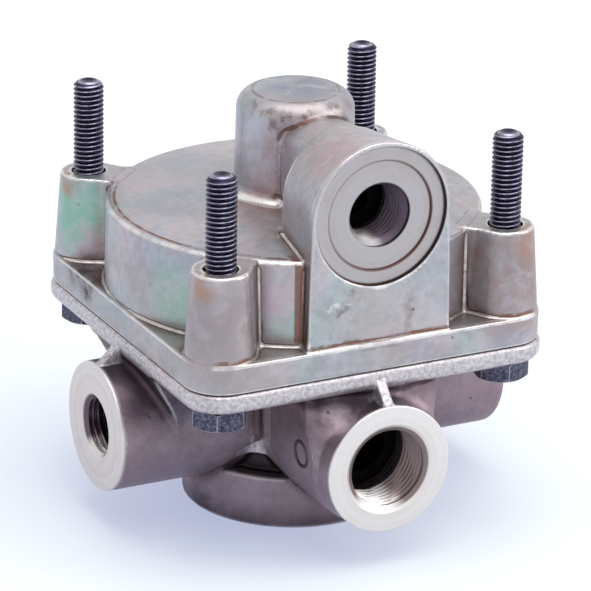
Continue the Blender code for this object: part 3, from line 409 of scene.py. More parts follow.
class Wiring:
    """Short ways to add and link shader nodes in one node tree."""

    def __init__(self, tree: bpy.types.NodeTree) -> None:
        """Keep the tree that the nodes go into, and the coordinates made so far."""
        self.tree = tree
        self.known: dict[str, Socket] = {}

    def add(self, kind: str, *values: Value, **settings: object) -> bpy.types.Node:
        """New node with its settings, its first inputs fed in order.

        Args:
            kind: kind of node.
            values: what the inputs get.
            settings: other properties of the node.
        Returns:
            The node.
        """
        node = self.tree.nodes.new(kind)
        for key, value in settings.items():
            setattr(node, key, value)
        for socket, value in zip(node.inputs, values):
            self.feed(socket, value)
        return node

    def feed(self, socket: Socket, value: Value) -> None:
        """Link an output into a socket, or set the socket to a plain value.

        Args:
            socket: input to feed.
            value: another node's output, a number, a vector or a colour.
        """
        if isinstance(value, Socket):
            self.tree.links.new(value, socket)
        elif isinstance(value, tuple) and socket.type == "RGBA":
            socket.default_value = (*value, 1)
        else:
            socket.default_value = value

    def put(self, node: bpy.types.Node, **values: Value) -> bpy.types.Node:
        """Feed a node's inputs by name.

        Args:
            node: the node.
            values: values by input, the words of an input's name joined by underscores.
        Returns:
            The same node.
        """
        for name, value in values.items():
            self.feed(node.inputs[name.replace("_", " ").title()], value)
        return node

    def math(self, operation: str, *values: Value) -> Socket:
        """Output of a math node."""
        return self.add("ShaderNodeMath", *values, operation=operation).outputs[0]

    def times(self, *values: Value) -> Socket:
        """Product of several values."""
        return reduce(partial(self.math, "MULTIPLY"), values)

    def most(self, *values: Value) -> Socket:
        """Largest of several values."""
        return reduce(partial(self.math, "MAXIMUM"), values)

    def length(self, first: Value, second: Value) -> Socket:
        """Length of a vector that has two parts."""
        joined = self.add("ShaderNodeCombineXYZ", first, second).outputs[0]
        return self.add("ShaderNodeVectorMath", joined, operation="LENGTH").outputs["Value"]

    def span(self, value: Value, start: float, end: float, first: float = 0.0, last: float = 1.0) -> Socket:
        """Value mapped smoothly from start and end to first and last, and held level beyond them."""
        spans = (start, end, first, last)
        return self.add("ShaderNodeMapRange", value, *spans, interpolation_type="SMOOTHSTEP").outputs[0]

    def mix(self, share: Value, first: Value, second: Value, blend: str = "MIX") -> Socket:
        """Colour mixed from two.

        Args:
            share: how much of the second there is.
            first: first colour.
            second: second colour.
            blend: how they are blended.
        Returns:
            The mixed colour.
        """
        node = self.add("ShaderNodeMix", share, data_type="RGBA", blend_type=blend)
        self.feed(node.inputs[6], first)
        self.feed(node.inputs[7], second)
        return node.outputs[2]

    def place(self) -> Socket:
        """Object coordinates, which are the part's own in metres."""
        return self.add("ShaderNodeTexCoord").outputs["Object"]

    def noise(self, scale: float, detail: float = 3.0, rough: float = 0.55, twist: float = 0.0,
              place: Optional[Socket] = None) -> Socket:
        """Noise, about 0.5 on average.

        Args:
            scale: waves per metre, or per unit of the place given.
            detail: how many finer layers there are.
            rough: how strong the finer layers are.
            twist: how far the pattern is twisted.
            place: where it is read, if not at the object coordinates.
        Returns:
            Its value.
        """
        where = self.place() if place is None else place
        node = self.add("ShaderNodeTexNoise")
        self.put(node, vector=where, scale=scale, detail=detail, roughness=rough, distortion=twist)
        return node.outputs[0]

    def coordinate(self, name: str) -> Socket:
        """Coordinate of the shaded point in millimetres, made once.

        Args:
            name: x, y, z; a name in AXES for the distance from that axis; far_x or far_y for the
                distance from a centre plane; far for the larger of those two.
        Returns:
            Its value.
        """
        if not self.known:
            scaled = self.add("ShaderNodeVectorMath", self.place(), operation="SCALE")
            scaled.inputs["Scale"].default_value = 1 / MM
            parts = self.add("ShaderNodeSeparateXYZ", scaled.outputs[0]).outputs
            self.known.update(zip("xyz", parts))
        if name in self.known:
            return self.known[name]
        if name in AXES:
            first, second, level = AXES[name]
            up = self.math("SUBTRACT", self.coordinate(second), level)
            made = self.length(self.coordinate(first), up)
        elif name == "far":
            made = self.most(self.coordinate("far_x"), self.coordinate("far_y"))
        else:
            made = self.math("ABSOLUTE", self.coordinate(name[-1]))
        self.known[name] = made
        return made

    def zone(self, *steps: Step) -> Socket:
        """Product of smooth steps, each from nothing at its start to one at its end."""
        return self.times(*(self.span(self.coordinate(name), start, end) for name, start, end in steps))

    def shaken(self) -> Socket:
        """Places pushed about, so that round stains get ragged outlines.

        Returns:
            Object coordinates moved by up to half the reach each way.
        """
        reach = 0.009
        pattern = self.put(self.add("ShaderNodeTexNoise"), vector=self.place(), scale=210.0, detail=3.0,
                           roughness=0.65).outputs["Color"]
        push = self.add("ShaderNodeVectorMath", pattern, (reach,) * 3, (-reach / 2,) * 3,
                        operation="MULTIPLY_ADD").outputs[0]
        return self.add("ShaderNodeVectorMath", self.place(), push, operation="ADD").outputs[0]

    def near(self, place: Socket, centre: Point, reach: float) -> Socket:
        """Patch round a point.

        Args:
            place: where the patch is read, in metres.
            centre: its middle in millimetres.
            reach: its radius in millimetres.
        Returns:
            One in the inner quarter of the radius, falling to nothing at its end.
        """
        spot = tuple(part * MM for part in centre)
        away = self.add("ShaderNodeVectorMath", place, spot, operation="DISTANCE").outputs["Value"]
        return self.span(away, reach * MM, 0.25 * reach * MM)

    def attribute(self, name: str) -> Socket:
        """Value of a point attribute of the mesh."""
        return self.add("ShaderNodeAttribute", attribute_name=name).outputs["Fac"]

    def group(self, tree: bpy.types.NodeTree, **values: Value) -> bpy.types.NodeOutputs:
        """Outputs of a shared group, with its inputs fed."""
        return self.put(self.add("ShaderNodeGroup", node_tree=tree), **values).outputs


def new_group(name: str, outputs: Sequence[str], inputs: Sequence[str] = ()
              ) -> tuple[Wiring, bpy.types.Node, bpy.types.Node]:
    """Empty shared group; its sockets are numbers, but one called Color is a colour.

    Args:
        name: name of the group.
        outputs: names of what it puts out.
        inputs: names of what it takes.
    Returns:
        Wiring of the group, its input node and its output node.
    """
    tree = bpy.data.node_groups.new(name, "ShaderNodeTree")
    for direction, labels in (("INPUT", inputs), ("OUTPUT", outputs)):
        for label in labels:
            kind = "NodeSocketColor" if label == "Color" else "NodeSocketFloat"
            tree.interface.new_socket(label, in_out=direction, socket_type=kind)
    w = Wiring(tree)
    return w, w.add("NodeGroupInput"), w.add("NodeGroupOutput")


@cache
def cast_skin() -> bpy.types.NodeTree:
    """Die-cast surface: soft flow patches, fine grain, scattered pits, and their height.

    Returns:
        The shared group.
    """
    w, _, out = new_group("cast_skin", ("Patches", "Grain", "Pits", "Height"))
    grain = w.noise(1500, 3, 0.6)
    cells = w.put(w.add("ShaderNodeTexVoronoi"), vector=w.place(), scale=210.0)
    pits = w.times(w.span(cells.outputs["Distance"], 0.13, 0.05), w.span(w.noise(95, 1), 0.58, 0.66))
    height = w.math("MULTIPLY_ADD", w.noise(260, 2, 0.5), 0.8, w.times(grain, 0.35))
    height = w.math("MULTIPLY_ADD", pits, -0.9, height)
    w.put(out, patches=w.noise(75, 3, 0.55, 0.6), grain=grain, pits=pits, height=height)
    return w.tree


@cache
def wear_glint_and_shade() -> bpy.types.NodeTree:
    """Wear, painted glints and painted shade from the mesh's bend and hollows, broken up by noise.

    Returns:
        The shared group: rubbed outer edges, dirty corners, painted glints in fillets, painted shade in deep
            places.
    """
    w, _, out = new_group("wear_glint_and_shade", ("Rubbed", "Corner", "Fillet", "Deep"))
    broken = w.math("SUBTRACT", w.noise(420, 3, 0.6), 0.5)
    edge = w.math("MULTIPLY_ADD", broken, 0.28, w.attribute("edge"))
    inner = w.times(edge, -1.0)
    slow = w.math("SUBTRACT", w.noise(110, 2), 0.5)
    deep = w.math("MULTIPLY_ADD", slow, 0.5, w.attribute("hollow"))
    # Fillet is a painted highlight down the middle of concave fillets; Deep is painted shade where the
    # casting closes in over a point.
    w.put(out, rubbed=w.span(edge, 0.42, 0.95), corner=w.span(inner, 0.22, 0.52),
          fillet=w.span(inner, 0.66, 0.88), deep=w.span(deep, 0.24, 0.62))
    return w.tree


@cache
def chromate_tint() -> bpy.types.NodeTree:
    """Faint rainbow of a chromate coat: slow noise runs through green, straw, pink and blue.

    Returns:
        The shared group.
    """
    w, _, out = new_group("chromate_tint", ("Color",))
    rainbow = w.add("ShaderNodeValToRGB", w.noise(34, 2, 0.5, 1.2))
    stops = rainbow.color_ramp.elements
    stops.remove(stops[0])
    for index, (where, colour) in enumerate((
        (0.30, (0.42, 0.50, 0.50)), (0.42, (0.50, 0.50, 0.55)), (0.50, (0.52, 0.49, 0.50)),
        (0.58, (0.56, 0.47, 0.50)), (0.68, (0.47, 0.47, 0.55)),
    )):
        stop = stops.new(where) if index else stops[0]
        stop.position = where
        stop.color = (*colour, 1)
    w.put(out, color=rainbow.outputs[0])
    return w.tree


@cache
def turned_marks() -> bpy.types.NodeTree:
    """Tool marks that go round an axis: noise of the radius in millimetres, with a little drift.

    Returns:
        The shared group.
    """
    w, given, out = new_group("turned_marks", ("Mask", "Height"), ("Radius", "Along"))
    joined = w.add("ShaderNodeCombineXYZ", *given.outputs[:2]).outputs[0]
    w.put(out, mask=w.noise(0.42, 2, 0.6, place=joined), height=w.noise(2.6, 2, 0.7, place=joined))
    return w.tree


def new_material(name: str) -> tuple[bpy.types.Material, Wiring]:
    """Material with its Principled shader.

    Args:
        name: name of the material.
    Returns:
        The material, and the wiring of its tree.
    """
    made = bpy.data.materials.new(name)
    made.use_nodes = True
    return made, Wiring(made.node_tree)


def surface(w: Wiring, colour: Value, roughness: Value, metallic: float, height: Optional[Socket] = None,
            depth: float = 0.0) -> bpy.types.Node:
    """Feed a new material's Principled shader.

    Args:
        w: wiring of the material's tree.
        colour: base colour.
        roughness: roughness.
        metallic: metallic value.
        height: height for the bump, if any.
        depth: how high the bump stands, in millimetres.
    Returns:
        The shader.
    """
    shader = w.tree.nodes["Principled BSDF"]
    w.put(shader, base_color=colour, roughness=roughness, metallic=metallic)
    if height is not None:
        bump = w.put(w.add("ShaderNodeBump"), strength=1.0, distance=depth * MM, height=height)
        w.feed(shader.inputs["Normal"], bump.outputs[0])
    return shader


def paint(piece: bpy.types.Object, material: bpy.types.Material) -> None:
    """Give a piece one material."""
    piece.data.materials.clear()
    piece.data.materials.append(material)


def settle(piece: bpy.types.Object, material: bpy.types.Material, body: str, slot: str,
           *nodes: str) -> bpy.types.Object:
    """Paint a piece, let it ride on its body and hide the CAD nodes it stands for.

    Args:
        piece: the piece.
        material: its finish.
        body: body of the mechanism that carries it.
        slot: not used.
        nodes: CAD nodes that it replaces.
    Returns:
        The same piece.
    """
    paint(piece, material)
    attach(piece, body)
    if nodes:
        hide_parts(*nodes)
    return piece


# Finishes of the castings


@dataclass(frozen=True)
class ColourPatch:
    """Coloured patch at a place on the casting, in millimetres: stains and tints, and in some places painted
    highlights, painted shade and painted reflection.
    """

    centre: Point
    reach: float
    colour: Colour
    strength: float


GREEN, PINK, PAINTED_HIGHLIGHT = (0.19, 0.41, 0.31), (0.52, 0.30, 0.38), (0.84, 0.84, 0.86)
RUST, BROWN, DUST = (0.36, 0.20, 0.11), (0.27, 0.185, 0.17), (0.33, 0.29, 0.285)

COVER_PATCHES = (
    ColourPatch((-45.2, 33.9, 71.4), 14, GREEN, 0.85),
    ColourPatch((-41.8, 31.9, 63.6), 8, PINK, 0.6),
    ColourPatch((-43.6, -21.4, 66.9), 15, GREEN, 0.5),
    ColourPatch((-42.5, -45.0, 68.0), 20, (0.29, 0.245, 0.245), 0.85),
    ColourPatch((-42.0, -50.0, 55.0), 18, DUST, 0.6),
    ColourPatch((-47.1, -43.2, 77.8), 6, RUST, 0.7),
    ColourPatch((-47.2, 37.7, 79.3), 5, RUST, 0.7),
    ColourPatch((-25.5, -41.0, 71.0), 8, (0.52, 0.34, 0.42), 0.55),
    ColourPatch((-22.6, -41.0, 63.9), 8, (0.30, 0.45, 0.38), 0.5),
    ColourPatch((-29.0, 25.5, 82.0), 14, (0.56, 0.38, 0.46), 0.55),
    ColourPatch((-16.0, -10.0, 83.5), 13, (0.38, 0.23, 0.23), 0.8),
    ColourPatch((-1.0, -14.0, 88.0), 9, (0.40, 0.22, 0.24), 0.7),
    ColourPatch((5.0, -15.0, 99.0), 16, DUST, 0.8),
    ColourPatch((-6.0, -10.0, 108.0), 10, BROWN, 0.5),
    ColourPatch((42.0, -46.0, 69.0), 24, BROWN, 0.8),
    ColourPatch((27.0, -38.0, 68.0), 12, BROWN, 0.4),
    ColourPatch((44.0, -47.0, 78.0), 7, RUST, 0.5),
    ColourPatch((-10.0, -40.0, 108.0), 12, (0.42, 0.28, 0.30), 0.6),
    ColourPatch((14.0, -12.0, 97.0), 16, (0.23, 0.145, 0.135), 0.9),
    ColourPatch((31.0, -31.0, 70.0), 12, (0.40, 0.28, 0.27), 0.8),
    # Painted reflection: the dome's top darker and bluer.
    ColourPatch((2.0, 0.0, 113.0), 16, (0.21, 0.235, 0.30), 1.0),
    ColourPatch((-9.0, -13.0, 98.0), 11, (0.29, 0.21, 0.21), 0.8),
    # Painted reflection: the drum's top bluer on the left.
    ColourPatch((-30.0, 5.0, 82.0), 16, (0.30, 0.315, 0.37), 0.85),
    ColourPatch((-20.0, 29.0, 83.0), 22, (0.31, 0.325, 0.37), 0.85),
    # Painted shadow: near-black in the pocket between the drum and the back-left tower.
    ColourPatch((-47.5, 20.5, 58.8), 7.5, (0.03, 0.015, 0.015), 1.0),
    ColourPatch((-47.0, 27.0, 59.5), 7.5, (0.03, 0.015, 0.015), 1.0),
    ColourPatch((33.0, -33.0, 59.0), 6, (0.22, 0.10, 0.06), 0.9),
    ColourPatch((-14.6, -4.0, 109.3), 2.6, (0.08, 0.04, 0.05), 0.9),
    ColourPatch((-12.5, -8.5, 108.6), 3.0, (0.16, 0.09, 0.10), 0.9),
    ColourPatch((-9.0, -12.2, 108.2), 2.4, (0.10, 0.06, 0.07), 0.8),
    # Painted highlights: the control boss's left foot fillet, and two spots on its front face below the
    # port.
    ColourPatch((-15.6, -25.0, 82.6), 2.8, PAINTED_HIGHLIGHT, 1.0),
    ColourPatch((-17.6, -28.4, 82.2), 2.8, PAINTED_HIGHLIGHT, 1.0),
    ColourPatch((-10.7, -48.7, 67.9), 2.8, (0.12, 0.08, 0.09), 0.9),
    ColourPatch((-12.6, -48.7, 69.6), 1.8, PAINTED_HIGHLIGHT, 0.9),
    ColourPatch((-8.8, -48.7, 69.4), 1.5, PAINTED_HIGHLIGHT, 0.8),
    ColourPatch((-48.5, 3.2, 80.5), 0.9, (0.03, 0.02, 0.02), 1.0),
    ColourPatch((0.0, -48.7, 66.0), 17, (0.47, 0.39, 0.37), 0.45),
    ColourPatch((-4.0, -14.8, 108.3), 2.4, (0.11, 0.07, 0.08), 0.85),
    ColourPatch((4.5, -14.3, 108.5), 2.8, (0.15, 0.10, 0.10), 0.8),
    ColourPatch((10.5, -10.8, 108.6), 2.2, (0.10, 0.07, 0.08), 0.8),
    ColourPatch((-11.5, -10.8, 104.5), 2.2, (0.14, 0.09, 0.09), 0.7),
)

BODY_PATCHES = (
    # Painted shadow: the left boss darkened under the flange.
    ColourPatch((-42.0, -9.0, 40.0), 20, (0.045, 0.034, 0.07), 0.95),
    ColourPatch((-24.0, -24.0, 34.0), 13, (0.17, 0.12, 0.10), 0.6),
    ColourPatch((-14.0, -36.0, 38.0), 12, (0.13, 0.09, 0.085), 0.7),
    ColourPatch((-45.0, -14.0, 17.0), 12, (0.28, 0.22, 0.29), 0.5),
    ColourPatch((30.0, -45.0, 30.0), 16, (0.38, 0.28, 0.32), 0.6),
    ColourPatch((-6.0, -27.0, 5.0), 12, (0.22, 0.16, 0.19), 0.5),
    # Painted shade in the front scoop and under the flange beside the rib, and a painted highlight on the
    # scoop's lower rim.
    ColourPatch((-15.5, -44.0, 37.5), 7, (0.12, 0.085, 0.10), 0.8),
    ColourPatch((-11.5, -46.5, 40.8), 4.5, (0.42, 0.36, 0.40), 0.9),
    ColourPatch((-5.0, -48.0, 41.5), 5, (0.06, 0.04, 0.05), 0.9),
    ColourPatch((-28.0, -4.0, 2.5), 6, (0.09, 0.075, 0.095), 0.8),
)


BLACK = (0.012, 0.008, 0.012)


@dataclass(frozen=True)
class CastFinish:
    """Die-cast metal under a chromate coat: tinted skin, rubbed edges, dirty corners, stains, painted
    highlights and painted shade.
    """

    name: str
    shade: Colour
    tint_share: float
    rubbed: Colour
    corner: Colour
    deep: Colour
    roughness: float
    metallic: float
    grain_depth: float
    rubbed_share: float
    deep_share: float
    colour_patches: tuple[ColourPatch, ...]
    painted_shade_zones: tuple[tuple[Zone, float], ...]

    def marks(self, w: Wiring, colour: Socket, wear: bpy.types.NodeOutputs, streak: Socket
              ) -> tuple[Socket, Socket]:
        """Colour with the marks that only this casting has, and a mask of bare metal that on the cover also
        holds painted highlights.
        """
        raise NotImplementedError

    def coat(self, w: Wiring, patches: Socket) -> Socket:
        """Chromate coat: the shade with a share of the rainbow, mottled light and dark.

        Args:
            w: wiring of the material's tree.
            patches: slow patches of the skin.
        Returns:
            Its colour.
        """
        rainbow = w.mix(1.0, w.group(chromate_tint())["Color"], (1.92, 1.92, 1.92), "MULTIPLY")
        tinted = w.mix(self.tint_share, self.shade, w.mix(1.0, self.shade, rainbow, "MULTIPLY"))
        mottled = w.math("MULTIPLY_ADD", w.noise(420, 3, 0.65), 0.45, w.times(patches, 0.55))
        light = w.span(mottled, 0.34, 0.66, 0.84, 1.12)
        grey = w.add("ShaderNodeCombineColor", light, light, light)
        return w.mix(1.0, tinted, grey.outputs[0], "MULTIPLY")

    def build(self) -> bpy.types.Material:
        """Coat, then stains and painted patches, painted shade in hollows, corner dirt, the casting's own
        marks, bare metal and painted shade that darkens the port bores and recesses.

        Returns:
            The material of the casting.
        """
        made, w = new_material(self.name)
        skin = w.group(cast_skin())
        wear = w.group(wear_glint_and_shade())
        colour = self.coat(w, skin["Patches"])
        streak = w.noise(130, 4, 0.65, 0.8)
        ragged = w.span(streak, 0.30, 0.60, 0.25, 1.0)
        shaken = w.shaken()
        # Stains and tints, and in some places painted highlights, painted shade and painted reflection.
        for colour_patch in self.colour_patches:
            share = w.times(w.near(shaken, colour_patch.centre, colour_patch.reach), ragged, colour_patch.strength)
            colour = w.mix(share, colour, colour_patch.colour)
        # Painted shade in hollows, mixed towards a brown stain tone.
        colour = w.mix(w.times(wear["Deep"], self.deep_share), colour, self.deep)
        dirt = w.times(wear["Corner"], w.span(streak, 0.25, 0.6, 0.45, 0.95))
        colour = w.mix(dirt, colour, self.corner)
        colour = w.mix(w.times(skin["Pits"], 0.7), colour, self.corner)
        colour, bare = self.marks(w, colour, wear, streak)
        # The bare mask is bare metal, and on the cover also its painted highlights; both take the rubbed
        # colour.
        colour = w.mix(w.times(bare, self.rubbed_share), colour, self.rubbed)
        # Painted shade: black deep in the port bores and in shaded recesses.
        dark = w.most(*(w.times(w.zone(*steps), share) for steps, share in self.painted_shade_zones))
        colour = w.mix(dark, colour, BLACK)
        rough = w.math("MULTIPLY_ADD", skin["Grain"], 0.18, self.roughness - 0.09)
        rough = w.math("MULTIPLY_ADD", bare, -0.12, rough)
        surface(w, colour, rough, self.metallic, skin["Height"], self.grain_depth)
        return made


@dataclass(frozen=True)
class CoverFinish(CastFinish):
    """Paler coat of the cover, with painted highlight lines on its ledges and brown lines beside them."""

    name: str = "chromate_cover"
    shade: Colour = (0.40, 0.395, 0.405)
    tint_share: float = 0.6
    rubbed: Colour = (0.82, 0.80, 0.78)
    corner: Colour = (0.09, 0.045, 0.035)
    deep: Colour = (0.19, 0.115, 0.095)
    roughness: float = 0.40
    metallic: float = 0.8
    grain_depth: float = 0.12
    rubbed_share: float = 0.65
    deep_share: float = 0.45
    colour_patches: tuple[ColourPatch, ...] = COVER_PATCHES
    # Painted shade: black deep in the control bore and on the wall of its recess.
    painted_shade_zones: tuple[tuple[Zone, float], ...] = (
        (bore("control", 9.0, 8.6, "y"), 1.0),
        ((("control", 18.4, 18.25), ("control", 17.6, 17.9), ("y", -48.7, -48.4), ("y", -45.0, -46.0)), 0.8),
    )
    brown: Colour = (0.17, 0.075, 0.045)
    front_edge: Step = ("y", -47.0, -48.2)
    left_side: Step = ("x", 2.0, -16.0)
    ledge: Zone = band("z", 57.9, 58.8, 0.25)
    drip: Zone = band("z", 59.0, 59.8, 0.4)
    shoulder: Zone = (("y", 20.0, 4.0), *band("radius", 47.6, 48.2, 0.3), *band("z", 80.2, 81.4, 0.3))
    groove: Zone = (("y", 30.0, 24.0), *band("radius", 46.1, 46.5, 0.4), *band("z", 80.3, 82.4, 0.4))
    crown: Zone = (("z", 108.49, 108.51), *band("radius", 11.0, 11.3, 0.35))
    dome_foot: Zone = (
        ("x", -9.0, -11.0), ("y", 1.0, -3.0), *band("radius", 16.3, 17.9, 0.7), *band("z", 83.7, 85.6, 0.6))
    boss_gap: Zone = (("y", -38.0, -40.0), *band("x", -21.2, -19.9, 0.4), *band("z", 60.5, 81.0, 1.2))

    def marks(self, w: Wiring, colour: Socket, wear: bpy.types.NodeOutputs, streak: Socket
              ) -> tuple[Socket, Socket]:
        """Painted highlights along the flange's ledge, the drum's shoulder, the dome's foot and in fillets;
        brown lines beside them and on the dome.

        Args:
            w: wiring of the material's tree.
            colour: colour so far.
            wear: outputs of the shared group of wear, painted glints and painted shade.
            streak: slow noise that breaks the marks up.
        Returns:
            Colour with the marks, and a mask of bare metal and painted highlights.
        """
        ragged = w.span(w.noise(300, 3, 0.7), 0.36, 0.6)
        # Painted highlights: a line along the flange's front ledge, the drum's left shoulder, the dome's
        # foot, and glints down the middle of fillets.
        ledge = w.times(w.zone(self.front_edge, *self.ledge), w.math("MULTIPLY_ADD", ragged, 0.6, 0.4))
        shoulder = w.zone(self.left_side, *self.shoulder)
        shoulder = w.times(shoulder, w.math("MULTIPLY_ADD", ragged, 0.7, 0.3))
        foot = w.times(w.zone(*self.dome_foot), 1.3)
        drip = w.times(w.zone(self.front_edge, *self.drip), ragged, 0.8)
        groove = w.times(w.zone(self.left_side, *self.groove), w.span(streak, 0.40, 0.56, 0.15, 1.0))
        crown = w.times(w.zone(*self.crown), w.span(streak, 0.35, 0.6), 0.7)
        brown = w.most(drip, groove, crown, w.times(w.zone(*self.boss_gap), 0.85))
        clean = w.math("SUBTRACT", 1.0, brown)
        fillet_glint = w.times(wear["Fillet"], w.span(streak, 0.35, 0.6, 0.35, 0.9), clean)
        # The bare mask: rubbed edges and the painted highlights.
        bare = w.most(w.times(wear["Rubbed"], self.calm(w)), ledge, shoulder, foot, fillet_glint)
        return w.mix(brown, colour, self.brown), bare

    @staticmethod
    def calm(w: Wiring) -> Socket:
        """How much of the rubbing stays: little of it on the control boss's front rim.

        Args:
            w: wiring of the material's tree.
        Returns:
            The share.
        """
        outer = w.most(w.zone(("z", 78.0, 86.0)), w.zone(("far_x", 18.0, 18.7)))
        rim = w.times(w.zone(("y", -46.8, -47.4), ("z", 60.0, 62.0)), outer)
        return w.math("MULTIPLY_ADD", rim, -0.72, 1.0)


@dataclass(frozen=True)
class BodyFinish(CastFinish):
    """Darker coat of the body, trimmed bare along its flash, with painted shade under the flange and towards
    its foot.
    """

    name: str = "chromate_body"
    shade: Colour = (0.275, 0.212, 0.245)
    tint_share: float = 0.4
    rubbed: Colour = (0.64, 0.63, 0.65)
    corner: Colour = (0.075, 0.05, 0.06)
    deep: Colour = (0.10, 0.068, 0.08)
    roughness: float = 0.46
    metallic: float = 0.72
    grain_depth: float = 0.16
    rubbed_share: float = 0.8
    deep_share: float = 0.65
    colour_patches: tuple[ColourPatch, ...] = BODY_PATCHES
    # Painted shade: black deep in the supply and delivery bores and in the pocket over the collar.
    painted_shade_zones: tuple[tuple[Zone, float], ...] = (
        (bore("supply", 12.3, 11.8, "y"), 1.0),
        (bore("delivery", 9.3, 8.8, "x"), 1.0),
        ((("radius", 25.2, 24.6), ("radius", 22.2, 22.8), ("z", 19.5, 19.0), ("z", 13.0, 13.9)), 0.92),
    )
    painted_shade: Colour = (0.04, 0.027, 0.036)
    under_flange: Zone = (("z", 40.0, 43.0), ("z", 46.4, 45.2))
    bead: Zone = (("far", 46.3, 47.2), ("z", 45.5, 46.8))
    rib: Zone = (("far", 49.0, 50.5), ("z", 42.5, 43.2))
    seam: Zone = (("far", 25.0, 24.2), ("radius", 24.6, 25.0), ("z", 17.8, 18.6))

    def marks(self, w: Wiring, colour: Socket, wear: bpy.types.NodeOutputs, streak: Socket
              ) -> tuple[Socket, Socket]:
        """Painted shade under the flange, most of it on the left, and towards the foot; trimmed flash.

        Args:
            w: wiring of the material's tree.
            colour: colour so far.
            wear: outputs of the shared group of wear, painted glints and painted shade.
            streak: slow noise that breaks the marks up.
        Returns:
            Colour with the marks, and how bare the metal is.
        """
        # Painted shade under the flange, stronger on the left, and darker towards the bottom.
        left = w.span(w.coordinate("x"), 10.0, -4.0, 0.30, 0.95)
        foot = w.span(w.coordinate("z"), 8.0, -1.0, 0.0, 0.75)
        painted_shade = w.most(w.times(w.zone(*self.under_flange), left), foot)
        painted_shade = w.times(painted_shade, w.span(streak, 0.3, 0.6, 0.65, 1.0))
        bare = w.most(w.times(wear["Rubbed"], 0.5), self.trimmed(w))
        return w.mix(painted_shade, colour, self.painted_shade), bare

    def trimmed(self, w: Wiring) -> Socket:
        """Where the flash was trimmed: the flange's bead, the ribs and the neck's corners.

        The neck's seams follow the diagonals between the bosses and widen towards the collar.

        Args:
            w: wiring of the material's tree.
        Returns:
            One where it is bare.
        """
        z, far_x, far_y = w.coordinate("z"), w.coordinate("far_x"), w.coordinate("far_y")
        ribs = w.times(w.most(w.zone(("far_x", 2.2, 1.3)), w.zone(("far_y", 2.2, 1.3))), w.zone(*self.rib))
        middle = w.span(z, 25.5, 19.0, -4.3, -1.0)
        aside = w.math("SUBTRACT", w.math("SUBTRACT", far_x, far_y), middle)
        on_seam = w.math("LESS_THAN", w.math("ABSOLUTE", aside), w.span(z, 24.0, 18.5, 2.1, 9.0))
        mask = w.most(w.zone(*self.bead), ribs, w.times(on_seam, w.zone(*self.seam), 0.75))
        return w.times(mask, w.span(w.noise(900, 2, 0.7), 0.35, 0.62, 0.45, 1.0))


# Finishes of the other pieces


@dataclass(frozen=True)
class TurnedFinish:
    """Machined metal with tool marks round one axis; inside is painted shade, with one side painted lit."""

    name: str
    colour: Colour
    inside: Colour
    ring_stain: Colour
    mouth: float
    depth: float
    roughness: float
    bright_way: tuple[float, float]
    grooves: tuple[float, ...] = ()
    painted_step_shade: Colour = (0.10, 0.045, 0.04)

    def build(self, side: Side, level: float) -> bpy.types.Material:
        """Make the finish of a port's face and bore.

        Args:
            side: where the port points, to the front or to the left.
            level: height of its axis.
        Returns:
            The material.
        """
        made, w = new_material(self.name)
        names = ("x", "y") if side is Side.FRONT else ("y", "x")
        sideways, along = (w.coordinate(name) for name in names)
        up = w.math("SUBTRACT", w.coordinate("z"), level)
        radius = w.length(sideways, up)
        marks = w.group(turned_marks(), radius=radius, along=w.times(along, 0.05))
        colour = w.mix(w.span(marks["Mask"], 0.35, 0.7, 0.0, 0.35), self.colour, self.ring_stain)
        patchy = w.span(w.noise(160, 3, 0.6), 0.45, 0.75, 0.0, 0.4)
        colour = w.mix(patchy, colour, self.ring_stain)
        # Painted shade on the walls of the face's steps, strongest at the lower right.
        lower_right = w.span(w.math("SUBTRACT", sideways, up), -20.0, 20.0, 0.35, 0.95)
        for groove in self.grooves:
            line = w.span(w.math("ABSOLUTE", w.math("SUBTRACT", radius, groove)), 0.52, 0.16)
            colour = w.mix(w.times(line, lower_right), colour, self.painted_step_shade)
        # Bore: painted shade in the inside colour, one side painted lit in the face's colour, black deeper
        # in.
        inward = w.span(w.math("ABSOLUTE", along), self.depth + 2.0, self.depth)
        inner = w.span(radius, self.mouth + 0.5, self.mouth)
        toward = w.math("MULTIPLY_ADD", sideways, self.bright_way[0], w.times(up, self.bright_way[1]))
        bright = w.span(w.math("DIVIDE", toward, radius), 0.68, 0.95)
        colour = w.mix(inner, colour, w.mix(bright, self.inside, self.colour))
        colour = w.mix(w.times(inner, inward), colour, BLACK)
        rough = w.math("MULTIPLY_ADD", marks["Mask"], 0.15, self.roughness)
        surface(w, colour, rough, 0.9, marks["Height"], 0.012)
        return made


@dataclass(frozen=True)
class BlackSteelFinish:
    """Black-oxidised steel, rubbed to bare metal on crests and edges marked by the mesh's wear."""

    name: str = "black_oxide_steel"
    colour: Colour = (0.022, 0.02, 0.045)
    dust: Colour = (0.10, 0.10, 0.15)
    head: Colour = (0.15, 0.15, 0.21)
    bare: Colour = (0.42, 0.40, 0.52)
    roughness: float = 0.34
    head_top: float = 46.2

    @cache
    def build(self) -> bpy.types.Material:
        """Make the finish of the bolts, once for all four.

        Returns:
            The material.
        """
        made, w = new_material(self.name)
        flecks = w.noise(700, 3, 0.7)
        colour = w.mix(w.span(w.noise(260, 2, 0.6), 0.45, 0.75, 0.0, 0.35), self.colour, self.dust)
        on_head = w.math("LESS_THAN", w.coordinate("z"), self.head_top)
        dull = w.times(on_head, w.span(w.noise(1300, 3, 0.7), 0.38, 0.65, 0.1, 0.8))
        colour = w.mix(dull, colour, self.head)
        wear = w.times(w.span(w.attribute("wear"), 0.72, 1.0), w.span(flecks, 0.25, 0.6, 0.45, 0.95), 0.8)
        colour = w.mix(wear, colour, self.bare)
        rough = w.math("MULTIPLY_ADD", flecks, 0.2, self.roughness - 0.1)
        surface(w, colour, rough, 0.9, flecks, 0.03)
        return made


